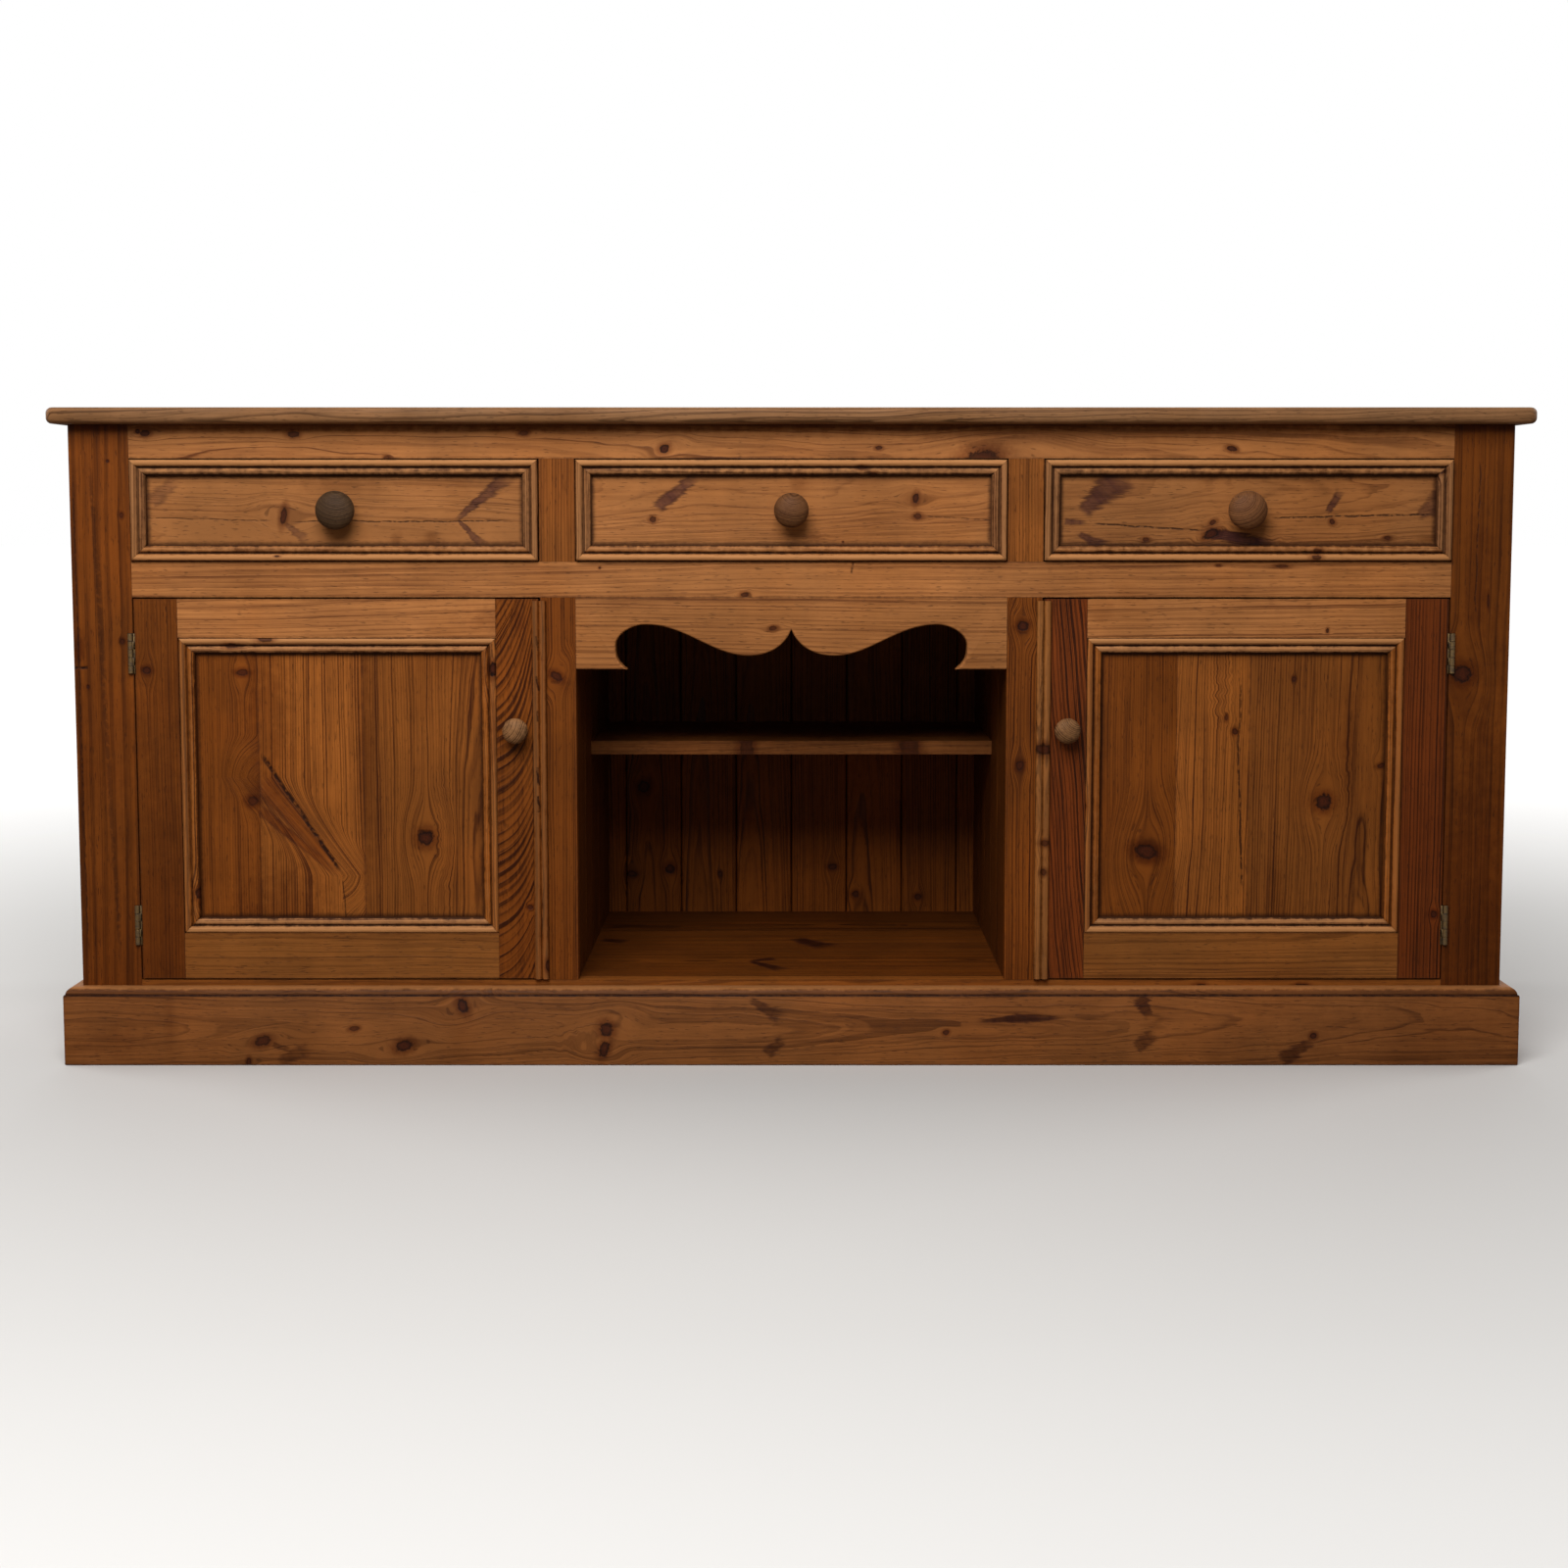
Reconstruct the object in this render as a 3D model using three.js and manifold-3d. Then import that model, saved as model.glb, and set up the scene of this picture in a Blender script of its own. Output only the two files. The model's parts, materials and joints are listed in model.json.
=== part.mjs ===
// A pine dresser base: three drawers over two panelled doors and an open bay with a scalloped apron.
// Millimetres, X to the right, Y to the back, Z up. While the pieces are drawn, Y is zero on the front
// of the face frame. The last group moves the origin under the middle of the whole object.
import * as THREE from "three";
import { mergeVertices } from "three/addons/utils/BufferGeometryUtils.js";
import Module from "manifold-3d";

const wasm = await Module();
wasm.setup();

// Carcass and face frame
const carcassWidth = 1787;
const carcassDepth = 479;
const carcassHeight = 801;
const faceFrameThickness = 22;
const faceStileWidth = 74;
const muntinWidth = 44;
const centreOpeningWidth = 537;
const floorHeight = 105;
const bottomRailHeight = 60;
const middleRailHeight = 44;
const topRailHeight = 42;
const drawerOpeningHeight = 127.5;
const endPanelThickness = 20;
const partitionThickness = 16;
const bottomBoardThickness = 18;
const bottomPlankCount = 3;
const shelfThickness = 18;
const centreShelfRise = 282;
const centreShelfSetback = 197;
const cupboardShelfRise = 235;
const cupboardShelfSetback = 110;

// Back of tongued and grooved boards, and the vee at each of their joints
const backThickness = 12;
const backRebateDepth = 10;
const backLift = 20;
const matchboardWidth = 81;
const veeWidth = 4;
const veeDepth = 2;

// Top board
const topThickness = 20;
const topSideOverhang = 21.5;
const topFrontOverhang = 25;
const topEdgeRadius = 7;
const topCornerRadius = 12;

// Plinth planted round the foot, with a thumb mould on its upper edge
const plinthHeight = 98;
const plinthThickness = 19.5;
const plinthMouldRadius = 9;
const plinthQuirk = 2;

// Joints: tenons, housings and the clearance between two pieces that meet
const fit = 0.3;
const overrun = 2;
const tenonThickness = 8;
const tenonLength = 20;
const tenonShoulder = 7;
const stubTenonLength = 12;
const housingDepth = 5;

// Apron under the middle rail, and its cut outline
const apronThickness = 20;
const apronHeight = 90;
const apronTenonLength = 8;
const apronCuspHalfSpan = 205;
const apronArchReach = 219;
const apronArchReachHeight = 30;
const apronArchTopOffset = 181;
const apronArchTopHeight = 56;
const apronLobeOffset = 54;
const apronLobeHeight = 17;
const apronCentreCuspHeight = 50;

// Doors
const doorThickness = 22;
const doorProud = 0.5;
const doorGap = 2;
const doorStileWidth = 53.5;
const doorTopRailHeight = 48.5;
const doorBottomRailHeight = 57.5;
const doorTenonLength = 30;
const panelThickness = 7.4;
const panelRecess = 9.3;
const panelGrooveDepth = 10;
const closingStripWidth = 18;
const closingStripThickness = 6;
const closingStripLap = 7.5;
const closingStripDrop = 2.5;

// Drawers
const drawerGap = 1.5;
const drawerFrontThickness = 18;
const drawerFrontRecess = 4;
const drawerLapDepth = 11;
const drawerSideThickness = 10;
const drawerTopClearance = 23;
const drawerSideClearance = 2;
const drawerRunClearance = 0.5;
const drawerBottomThickness = 6;
const drawerBottomRise = 8;
const drawerBottomGroove = 6;
const drawerBackDrop = 10;
const drawerBackClearance = 14;
const deckThickness = 12;
const guideHeight = 22;

// Mouldings mitred round the drawer fronts and inside the door frames
const mouldingWidth = 19;
const drawerMouldingHeight = 10;
const doorMouldingHeight = 10;

// Turned knobs
const drawerKnobDiameter = 48;
const centreKnobDiameter = 43;
const drawerKnobProjection = 36;
const drawerKnobSpigot = 18;
const drawerKnobShift = 4.5;
const doorKnobDiameter = 32;
const doorKnobProjection = 26;
const doorKnobSpigot = 12;
const doorKnobInset = 28.5;
const doorKnobDrop = 165.5;

// Butt hinges
const hingeHeight = 50;
const hingeInset = 68;
const hingeKnuckleDiameter = 6.4;
const hingePinDiameter = 2.8;
const hingeKnuckleCount = 5;
const hingeLeafThickness = 1.6;
const hingeLeafDepth = 18;
const hingeAxisInset = 3;
const hingeAxisProud = 1.5;
const doorLeafSink = 0.6;

// Counts of sides on round work
const knobSides = 24;
const knuckleSides = 12;
const edgeSteps = 3;
const curveSteps = 10;

// Outlines as shares of the sizes that they follow.
// The moulding has two beads with a quirk between them: width from its outer edge, then height.
const mouldingShares = [
  [0, 0],
  [0, 0.76],
  [0.06, 0.92],
  [0.18, 1],
  [0.32, 0.97],
  [0.43, 0.82],
  [0.46, 0.52],
  [0.53, 0.5],
  [0.57, 0.64],
  [0.67, 0.79],
  [0.8, 0.8],
  [0.92, 0.7],
  [1, 0.48],
  [1, 0],
];
// The knob: radius, then distance out from the face it stands on.
const knobShares = [
  [0.58, 0],
  [0.6, 0.07],
  [0.5, 0.12],
  [0.43, 0.22],
  [0.46, 0.31],
  [0.74, 0.4],
  [0.93, 0.5],
  [1, 0.62],
  [0.97, 0.74],
  [0.84, 0.86],
  [0.6, 0.94],
  [0.3, 0.985],
  [0, 1],
];
// The closing strip: two reeds across its width, then their thickness.
const closingStripShares = [
  [0, 0],
  [0, 0.6],
  [0.08, 0.86],
  [0.24, 1],
  [0.4, 0.88],
  [0.48, 0.62],
  [0.52, 0.62],
  [0.6, 0.88],
  [0.76, 1],
  [0.92, 0.86],
  [1, 0.6],
  [1, 0],
];

// Places that the sizes lead to
const halfWidth = carcassWidth / 2;
const stileInner = halfWidth - faceStileWidth;
const muntinInner = centreOpeningWidth / 2;
const muntinOuter = muntinInner + muntinWidth;
const endPanelInner = halfWidth - endPanelThickness;
const partitionOuter = muntinInner + partitionThickness;
const topRailBottom = carcassHeight - topRailHeight;
const drawerFloor = topRailBottom - drawerOpeningHeight;
const middleRailBottom = drawerFloor - middleRailHeight;
const centreShelfTop = floorHeight + centreShelfRise;
const cupboardShelfTop = floorHeight + cupboardShelfRise;
const sideOpeningWidth = stileInner - muntinOuter;
const interiorBack = carcassDepth - backThickness;
const hingeAxis = stileInner + hingeAxisInset;

const middleOf = (range) => (range[0] + range[1]) / 2;
const lengthOf = (range) => range[1] - range[0];
const widened = (range, by) => [range[0] - by, range[1] + by];
const centred = (middle, length) => [middle - length / 2, middle + length / 2];
const grown = (box, by) => ({
  x: widened(box.x, by),
  y: widened(box.y, by),
  z: widened(box.z, by),
});
const mirrored = (box) => ({ ...box, x: [-box.x[1], -box.x[0]] });

// Finishes
const finish = (colour, roughness, metalness = 0) =>
  new THREE.MeshStandardMaterial({ color: colour, roughness, metalness });
const honeyPine = finish(0xa56e3c, 0.55);
const brownPine = finish(0x7a4a22, 0.6);
const redPine = finish(0x5e3216, 0.6);
const palePine = finish(0xb98348, 0.55);
const rawPine = finish(0xa98457, 0.75);
const turnedPine = finish(0x8a6543, 0.5);
const agedBrass = finish(0x77705a, 0.45, 0.9);

// Solids: a closed geometry becomes a manifold and comes back as a geometry
function solidOf(geometry) {
  const bare = geometry.clone();
  bare.deleteAttribute("normal");
  bare.deleteAttribute("uv");
  const merged = mergeVertices(bare);
  return new wasm.Manifold(
    new wasm.Mesh({
      numProp: 3,
      vertProperties: new Float32Array(merged.attributes.position.array),
      triVerts: new Uint32Array(merged.index.array),
    }),
  );
}

function geometryOf(solid) {
  const mesh = solid.getMesh();
  const positions = new Float32Array(mesh.numVert * 3);
  for (let i = 0; i < mesh.numVert; i++) {
    const start = i * mesh.numProp;
    positions.set(mesh.vertProperties.subarray(start, start + 3), i * 3);
  }
  const geometry = new THREE.BufferGeometry();
  geometry.setAttribute("position", new THREE.BufferAttribute(positions, 3));
  geometry.setIndex(new THREE.BufferAttribute(new Uint32Array(mesh.triVerts), 1));
  return geometry;
}

const joined = (geometries) =>
  geometryOf(geometries.map(solidOf).reduce((whole, next) => whole.add(next)));
const cut = (geometry, cutters) =>
  geometryOf(cutters.map(solidOf).reduce((whole, next) => whole.subtract(next), solidOf(geometry)));

function block({ x, y, z }) {
  const geometry = new THREE.BoxGeometry(lengthOf(x), lengthOf(y), lengthOf(z));
  return geometry.translate(middleOf(x), middleOf(y), middleOf(z));
}

// A rod along one axis, between two places on it
function rod(radius, axis, centre, range, sides) {
  const geometry = new THREE.CylinderGeometry(radius, radius, lengthOf(range), sides);
  if (axis === "z") {
    geometry.rotateX(Math.PI / 2);
    return geometry.translate(centre[0], centre[1], middleOf(range));
  }
  return geometry.translate(centre[0], middleOf(range), centre[1]);
}

// An outline in plan, raised between two heights
function raised(points, z) {
  const shape = new THREE.Shape(points.map(([x, y]) => new THREE.Vector2(x, y)));
  const geometry = new THREE.ExtrudeGeometry(shape, { depth: lengthOf(z), bevelEnabled: false });
  return geometry.translate(0, 0, z[0]);
}

// A closed skin through sections of equal count: a loop of them, or a run with its two ends capped
function skin(sections, loops) {
  const count = sections[0].length;
  const rings = sections.length;
  const index = [];
  for (let s = 0; s < (loops ? rings : rings - 1); s++) {
    const here = s * count;
    const there = ((s + 1) % rings) * count;
    for (let i = 0; i < count; i++) {
      const next = (i + 1) % count;
      index.push(here + i, there + i, there + next);
      index.push(here + i, there + next, here + next);
    }
  }
  const geometry = new THREE.BufferGeometry();
  geometry.setAttribute("position", new THREE.Float32BufferAttribute(sections.flat(2), 3));
  geometry.setIndex(index);
  return geometry;
}

function capped(geometry, count, outline) {
  const caps = THREE.ShapeUtils.triangulateShape(outline.map(([x, y]) => new THREE.Vector2(x, y)), []);
  const last = geometry.attributes.position.count - count;
  const index = [...geometry.index.array];
  const turnsLeft = THREE.ShapeUtils.area(outline.map(([x, y]) => ({ x, y }))) > 0;
  for (const [a, b, c] of caps) {
    const [low, high] = turnsLeft ? [b, c] : [c, b];
    index.push(a, low, high);
    index.push(last + a, last + high, last + low);
  }
  geometry.setIndex(index);
  return geometry;
}

// A geometry becomes a named piece, drawn about its own middle and placed by its position
function piece(name, geometry, material) {
  geometry.computeBoundingBox();
  const middle = geometry.boundingBox.getCenter(new THREE.Vector3());
  geometry.translate(-middle.x, -middle.y, -middle.z);
  geometry.computeVertexNormals();
  const mesh = new THREE.Mesh(geometry, material);
  mesh.name = name;
  mesh.position.copy(middle);
  return mesh;
}

// The two sides of the object share one drawing, made on the right and mirrored for the left
const sides = [
  ["left", -1],
  ["right", 1],
];

function bothSides(draw) {
  const pair = new THREE.Group();
  for (const [word, sign] of sides) {
    const half = new THREE.Group();
    half.scale.x = sign;
    half.add(...draw(word));
    pair.add(half);
  }
  return pair;
}

// Tenons of the face frame, drawn for the right-hand end where there are two
const frameY = [0, faceFrameThickness];
const frameTenonY = centred(faceFrameThickness / 2, tenonThickness);
const topRailZ = [topRailBottom, carcassHeight - fit];
const middleRailZ = [middleRailBottom, drawerFloor];
const bottomRailZ = [floorHeight - bottomRailHeight, floorHeight];

const railTenon = (railZ) => ({
  x: [stileInner - fit - overrun, stileInner + tenonLength],
  y: frameTenonY,
  z: widened(railZ, -tenonShoulder),
});

const muntinTenon = (z) => ({
  x: widened([muntinInner, muntinOuter], -tenonShoulder),
  y: frameTenonY,
  z,
});
const drawerMuntinTenon = muntinTenon([drawerFloor - stubTenonLength, topRailBottom + stubTenonLength]);
const doorMuntinTenon = muntinTenon([floorHeight - stubTenonLength, middleRailBottom + stubTenonLength]);

const apronZ = [middleRailBottom - apronHeight, middleRailBottom - fit];
const apronTenon = {
  x: [muntinInner - fit - overrun, muntinInner + apronTenonLength],
  y: centred(apronThickness / 2, tenonThickness),
  z: widened(apronZ, -tenonShoulder),
};

function faceRail(name, z, muntinTenons) {
  const tenon = railTenon(z);
  const body = { x: [-stileInner + fit, stileInner - fit], y: frameY, z };
  const mortises = muntinTenons.map((box) => grown(box, fit));
  const shape = joined([body, tenon, mirrored(tenon)].map(block));
  return piece(name, cut(shape, mortises.concat(mortises.map(mirrored)).map(block)), honeyPine);
}

// Butt hinges, drawn on the right with the pin's axis at x and y zero of a group of their own
const knuckleRadius = hingeKnuckleDiameter / 2;
const knuckleStep = hingeHeight / hingeKnuckleCount;
const leafBack = hingeAxisProud + hingeLeafDepth;
const doorEdge = hingeAxisInset + doorGap;
const hingeHeights = [
  ["lower", floorHeight + doorGap + hingeInset],
  ["upper", middleRailBottom - doorGap - hingeInset],
];

const knuckleRange = (i) => [
  -hingeHeight / 2 + i * knuckleStep + fit / 2,
  -hingeHeight / 2 + (i + 1) * knuckleStep - fit / 2,
];
const knucklesOf = (parity) =>
  [...Array(hingeKnuckleCount).keys()].filter((i) => i % 2 === parity).map(knuckleRange);
const knuckle = (z, radius = knuckleRadius) => rod(radius, "z", [0, 0], z, knuckleSides);

function frameLeaf(name) {
  const plate = {
    x: [-hingeAxisInset + fit, -hingeAxisInset + fit + hingeLeafThickness],
    y: [-hingeAxisProud, leafBack],
    z: centred(0, hingeHeight),
  };
  const spaces = knucklesOf(1).map((z) => knuckle(widened(z, fit), knuckleRadius + fit));
  const pin = rod(hingePinDiameter / 2, "z", [0, 0], centred(0, hingeHeight), knuckleSides);
  const knuckles = knucklesOf(0).map((z) => knuckle(z));
  return piece(name, joined([cut(block(plate), spaces), pin, ...knuckles]), agedBrass);
}

function doorLeaf(name) {
  const plateX = [-doorEdge - doorLeafSink, -doorEdge - doorLeafSink + hingeLeafThickness];
  const web = centred(0, hingeLeafThickness);
  const plate = { x: plateX, y: [web[0], leafBack], z: centred(0, hingeHeight) };
  const webs = knucklesOf(1).map((z) => block({ x: [plateX[0], 0], y: web, z }));
  const knuckles = knucklesOf(1).map((z) => knuckle(z));
  const bore = rod(hingePinDiameter / 2 + fit, "z", [0, 0], centred(0, hingeHeight), knuckleSides);
  return piece(name, cut(joined([block(plate), ...webs, ...knuckles]), [bore]), agedBrass);
}

// What is cut from the face stile for one hinge: the gain of its leaf and the pocket of its knuckles
function stileGains(z) {
  const height = widened(centred(z, hingeHeight), fit);
  const gain = {
    x: [stileInner - overrun, stileInner + 2 * fit + hingeLeafThickness],
    y: [-overrun, hingeLeafDepth + fit],
    z: height,
  };
  const pocket = {
    x: [stileInner - overrun, hingeAxis + knuckleRadius + fit],
    y: [-overrun, knuckleRadius - hingeAxisProud + fit],
    z: height,
  };
  return [gain, pocket].map(block);
}

// Face frame
const faceRails = () => [
  faceRail("top_face_rail", topRailZ, [drawerMuntinTenon]),
  faceRail("middle_face_rail", middleRailZ, [drawerMuntinTenon, doorMuntinTenon]),
  faceRail("bottom_face_rail", bottomRailZ, [doorMuntinTenon]),
];

function faceStile(side) {
  const body = { x: [stileInner, halfWidth], y: frameY, z: [0, carcassHeight - fit] };
  const mortises = [topRailZ, middleRailZ, bottomRailZ].map((z) => block(grown(railTenon(z), fit)));
  const gains = hingeHeights.flatMap(([, z]) => stileGains(z));
  return piece(side + "_face_stile", cut(block(body), mortises.concat(gains)), redPine);
}

function drawerMuntin(side) {
  const x = [muntinInner, muntinOuter];
  const body = { x, y: frameY, z: widened([drawerFloor, topRailBottom], -fit) };
  return piece(side + "_drawer_muntin", joined([body, drawerMuntinTenon].map(block)), brownPine);
}

function doorMuntin(side) {
  const x = [muntinInner, muntinOuter];
  const body = { x, y: frameY, z: widened([floorHeight, middleRailBottom], -fit) };
  const shape = joined([body, doorMuntinTenon].map(block));
  return piece(side + "_door_muntin", cut(shape, [block(grown(apronTenon, fit))]), brownPine);
}

const frameLeaves = (side) =>
  hingeHeights.map(([word, z]) => {
    const leaf = frameLeaf([side, word, "hinge_frame_leaf"].join("_"));
    leaf.position.add(new THREE.Vector3(hingeAxis, -hingeAxisProud, z));
    return leaf;
  });

// The apron's outline runs from its left end along the cut edge to its right end
function apron() {
  const foot = apronZ[0];
  const arch = foot + apronArchTopHeight;
  const reach = foot + apronArchReachHeight;
  const lobe = foot + apronLobeHeight;
  const cusp = foot + apronCentreCuspHeight;
  const end = muntinInner - fit;
  const archRun = apronArchReach - apronArchTopOffset;
  const lobeRun = apronArchTopOffset - apronLobeOffset;
  const shape = new THREE.Shape();
  shape.moveTo(-end, apronZ[1]);
  for (const sign of [-1, 1]) {
    const at = (x) => sign * x;
    const steps = [
      () => shape.lineTo(at(end), foot),
      () => shape.lineTo(at(apronCuspHalfSpan), foot),
    ];
    const curves = [
      [apronCuspHalfSpan, foot],
      [apronCuspHalfSpan + archRun / 3, foot + apronArchReachHeight / 3],
      [apronArchReach, (foot + reach) / 2],
      [apronArchReach, reach],
      [apronArchReach, (reach + arch) / 2],
      [apronArchTopOffset + archRun / 2, arch],
      [apronArchTopOffset, arch],
      [apronArchTopOffset - lobeRun / 2.6, arch],
      [apronLobeOffset + lobeRun / 2.9, lobe],
      [apronLobeOffset, lobe],
      [apronLobeOffset / 2.4, lobe],
      [apronLobeOffset / 9, (lobe + cusp) / 2],
      [0, cusp],
    ];
    const outward = sign < 0 ? curves : [...curves].reverse();
    const drawCurves = () => {
      for (let i = 1; i + 2 < outward.length; i += 3) {
        const [one, two, three] = outward.slice(i, i + 3);
        shape.bezierCurveTo(at(one[0]), one[1], at(two[0]), two[1], at(three[0]), three[1]);
      }
    };
    if (sign < 0) {
      steps.forEach((step) => step());
      drawCurves();
    } else {
      drawCurves();
      steps.reverse().forEach((step) => step());
    }
  }
  shape.lineTo(end, apronZ[1]);
  const geometry = new THREE.ExtrudeGeometry(shape, {
    depth: apronThickness,
    bevelEnabled: false,
    curveSegments: curveSteps,
  });
  geometry.rotateX(Math.PI / 2).translate(0, apronThickness, 0);
  const whole = joined([geometry, block(apronTenon), block(mirrored(apronTenon))]);
  return piece("scalloped_apron", whole, palePine);
}

// Carcass boards
const interiorY = [faceFrameThickness + fit, interiorBack - fit];
const bottomBoardZ = [floorHeight - bottomBoardThickness, floorHeight];
const deckZ = [drawerFloor - deckThickness, drawerFloor];
const centreShelfBox = {
  x: [-muntinInner - housingDepth + fit, muntinInner + housingDepth - fit],
  y: [centreShelfSetback, interiorBack - fit],
  z: [centreShelfTop - shelfThickness, centreShelfTop],
};
const cupboardShelfBox = {
  x: [partitionOuter - housingDepth + fit, endPanelInner + housingDepth - fit],
  y: [cupboardShelfSetback, interiorBack - fit],
  z: [cupboardShelfTop - shelfThickness, cupboardShelfTop],
};
const housedX = endPanelInner + housingDepth - fit;
const fullWidthX = [-housedX, housedX];

function endPanel(side) {
  const body = {
    x: [endPanelInner, halfWidth],
    y: [faceFrameThickness + fit, carcassDepth],
    z: [0, carcassHeight - fit],
  };
  const rebate = {
    x: [endPanelInner - overrun, endPanelInner + backRebateDepth],
    y: [interiorBack - fit, carcassDepth + overrun],
    z: widened(body.z, overrun),
  };
  const housings = [
    { x: fullWidthX, y: interiorY, z: bottomBoardZ },
    { x: fullWidthX, y: interiorY, z: deckZ },
    cupboardShelfBox,
  ];
  const cutters = [rebate, ...housings.map((box) => grown(box, fit))];
  return piece(side + "_end_panel", cut(block(body), cutters.map(block)), redPine);
}

// Boards side by side along one edge, with a vee at each joint between them
function veedEdge(joints, level, inward) {
  return joints.flatMap((joint) => [
    [joint - veeWidth / 2, level],
    [joint, level + inward * veeDepth],
    [joint + veeWidth / 2, level],
  ]);
}

const jointsBetween = (low, high, width) => {
  const first = Math.ceil((low + veeWidth) / width);
  const last = Math.floor((high - veeWidth) / width);
  return Array.from({ length: last - first + 1 }, (_, i) => (first + i) * width);
};

function backBoarding() {
  const edge = endPanelInner + backRebateDepth - fit;
  const vees = veedEdge(jointsBetween(-edge, edge, matchboardWidth), interiorBack, 1);
  const outline = [
    [-edge, interiorBack],
    ...vees,
    [edge, interiorBack],
    [edge, carcassDepth],
    [-edge, carcassDepth],
  ];
  return piece("back_boarding", raised(outline, [backLift, carcassHeight - fit]), brownPine);
}

function partition(side) {
  const run = lengthOf(interiorY);
  const boards = Math.max(1, Math.round(run / matchboardWidth));
  const joints = Array.from({ length: boards - 1 }, (_, i) => interiorY[0] + ((i + 1) * run) / boards);
  const outline = veedEdge(joints, muntinInner, 1).map(([along, level]) => [level, along]);
  outline.unshift([muntinInner, interiorY[0]]);
  outline.push([muntinInner, interiorY[1]], [partitionOuter, interiorY[1]]);
  outline.push([partitionOuter, interiorY[0]]);
  const boardsUp = raised(outline.reverse(), [floorHeight + fit, deckZ[0] - fit]);
  const housings = [centreShelfBox, cupboardShelfBox].map((box) => block(grown(box, fit)));
  return piece(side + "_partition", cut(boardsUp, housings), brownPine);
}

function bottomBoard() {
  const plank = lengthOf(interiorY) / bottomPlankCount;
  const joints = Array.from({ length: bottomPlankCount - 1 }, (_, i) => interiorY[0] + (i + 1) * plank);
  const groove = (joint) => ({
    x: widened(fullWidthX, overrun),
    y: centred(joint, veeDepth / 2),
    z: [floorHeight - veeDepth, floorHeight + overrun],
  });
  const body = block({ x: fullWidthX, y: interiorY, z: bottomBoardZ });
  return piece("bottom_board", cut(body, joints.map(groove).map(block)), brownPine);
}

// The dust board that the drawers run on, with the guides that stand on it
function drawerDeck() {
  const guideZ = [drawerFloor - overrun, drawerFloor + guideHeight];
  const endGuide = { x: [stileInner + fit, endPanelInner - fit], y: interiorY, z: guideZ };
  const midGuide = { x: widened([muntinInner, muntinOuter], -fit), y: interiorY, z: guideZ };
  const board = { x: fullWidthX, y: interiorY, z: deckZ };
  const boxes = [board, endGuide, mirrored(endGuide), midGuide, mirrored(midGuide)];
  return piece("drawer_deck", joined(boxes.map(block)), rawPine);
}

function topBoard() {
  const halfTop = halfWidth + topSideOverhang;
  const front = -topFrontOverhang;
  const back = carcassDepth + topCornerRadius + topEdgeRadius;
  const shape = new THREE.Shape();
  shape.moveTo(-halfTop + topCornerRadius, front);
  shape.lineTo(halfTop - topCornerRadius, front);
  shape.quadraticCurveTo(halfTop, front, halfTop, front + topCornerRadius);
  shape.lineTo(halfTop, back);
  shape.lineTo(-halfTop, back);
  shape.lineTo(-halfTop, front + topCornerRadius);
  shape.quadraticCurveTo(-halfTop, front, -halfTop + topCornerRadius, front);
  const geometry = new THREE.ExtrudeGeometry(shape, {
    depth: topThickness - 2 * topEdgeRadius,
    bevelEnabled: true,
    bevelThickness: topEdgeRadius,
    bevelSize: topEdgeRadius,
    bevelOffset: -topEdgeRadius,
    bevelSegments: edgeSteps,
    curveSegments: edgeSteps,
  });
  geometry.translate(0, 0, carcassHeight + topEdgeRadius);
  const trim = {
    x: widened([-halfTop, halfTop], overrun),
    y: [carcassDepth, back + overrun],
    z: widened([carcassHeight, carcassHeight + topThickness], overrun),
  };
  return piece("top_board", cut(geometry, [block(trim)]), honeyPine);
}

// Plinth: a section out from the carcass and up, run along each side and mitred at the front corners
const plinthSection = () => {
  const shoulder = plinthThickness - plinthQuirk;
  const springing = plinthHeight - plinthMouldRadius;
  const arc = Array.from({ length: edgeSteps + 1 }, (_, i) => {
    const turn = ((i / edgeSteps) * Math.PI) / 2;
    return [
      shoulder - plinthMouldRadius * (1 - Math.cos(turn)),
      springing + plinthMouldRadius * Math.sin(turn),
    ];
  });
  return [[fit, 0], [plinthThickness, 0], [plinthThickness, springing], ...arc, [fit, plinthHeight]];
};

function plinthFront() {
  const section = plinthSection();
  const end = (sign) =>
    section.map(([out, up]) => [sign * (halfWidth + out - fit / 2), -out, up]);
  const run = capped(skin([end(-1), end(1)], false), section.length, section);
  return piece("plinth_front", run, honeyPine);
}

function plinthSide(side) {
  const section = plinthSection();
  const front = section.map(([out, up]) => [halfWidth + out, fit / 2 - out, up]);
  const back = section.map(([out, up]) => [halfWidth + out, carcassDepth, up]);
  const run = capped(skin([front, back], false), section.length, section);
  return piece("plinth_" + side, run, brownPine);
}

// A moulding mitred round a rectangle, its back at y and its crest towards the front
function mouldingRing(name, x, z, y, height) {
  const corner = (atX, atZ, inX, inZ) =>
    mouldingShares.map(([across, up]) => [
      atX + inX * across * mouldingWidth,
      y - up * height,
      atZ + inZ * across * mouldingWidth,
    ]);
  const corners = [
    corner(x[0], z[0], 1, 1),
    corner(x[1], z[0], -1, 1),
    corner(x[1], z[1], -1, -1),
    corner(x[0], z[1], 1, -1),
  ];
  return piece(name, skin(corners, true), palePine);
}

// A turned knob with the spigot that holds it: its foot stands at y, facing the front
function knob(name, diameter, projection, spigot, depth, x, y, z) {
  const profile = knobShares.map(([across, out]) => [(across * diameter) / 2, out * projection]);
  profile.unshift([0, -depth], [spigot / 2, -depth], [spigot / 2, 0]);
  const points = profile.map(([radius, out]) => new THREE.Vector2(radius, -out));
  const geometry = new THREE.LatheGeometry(points.reverse(), knobSides);
  return piece(name, geometry.translate(x, y, z), turnedPine);
}

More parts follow.
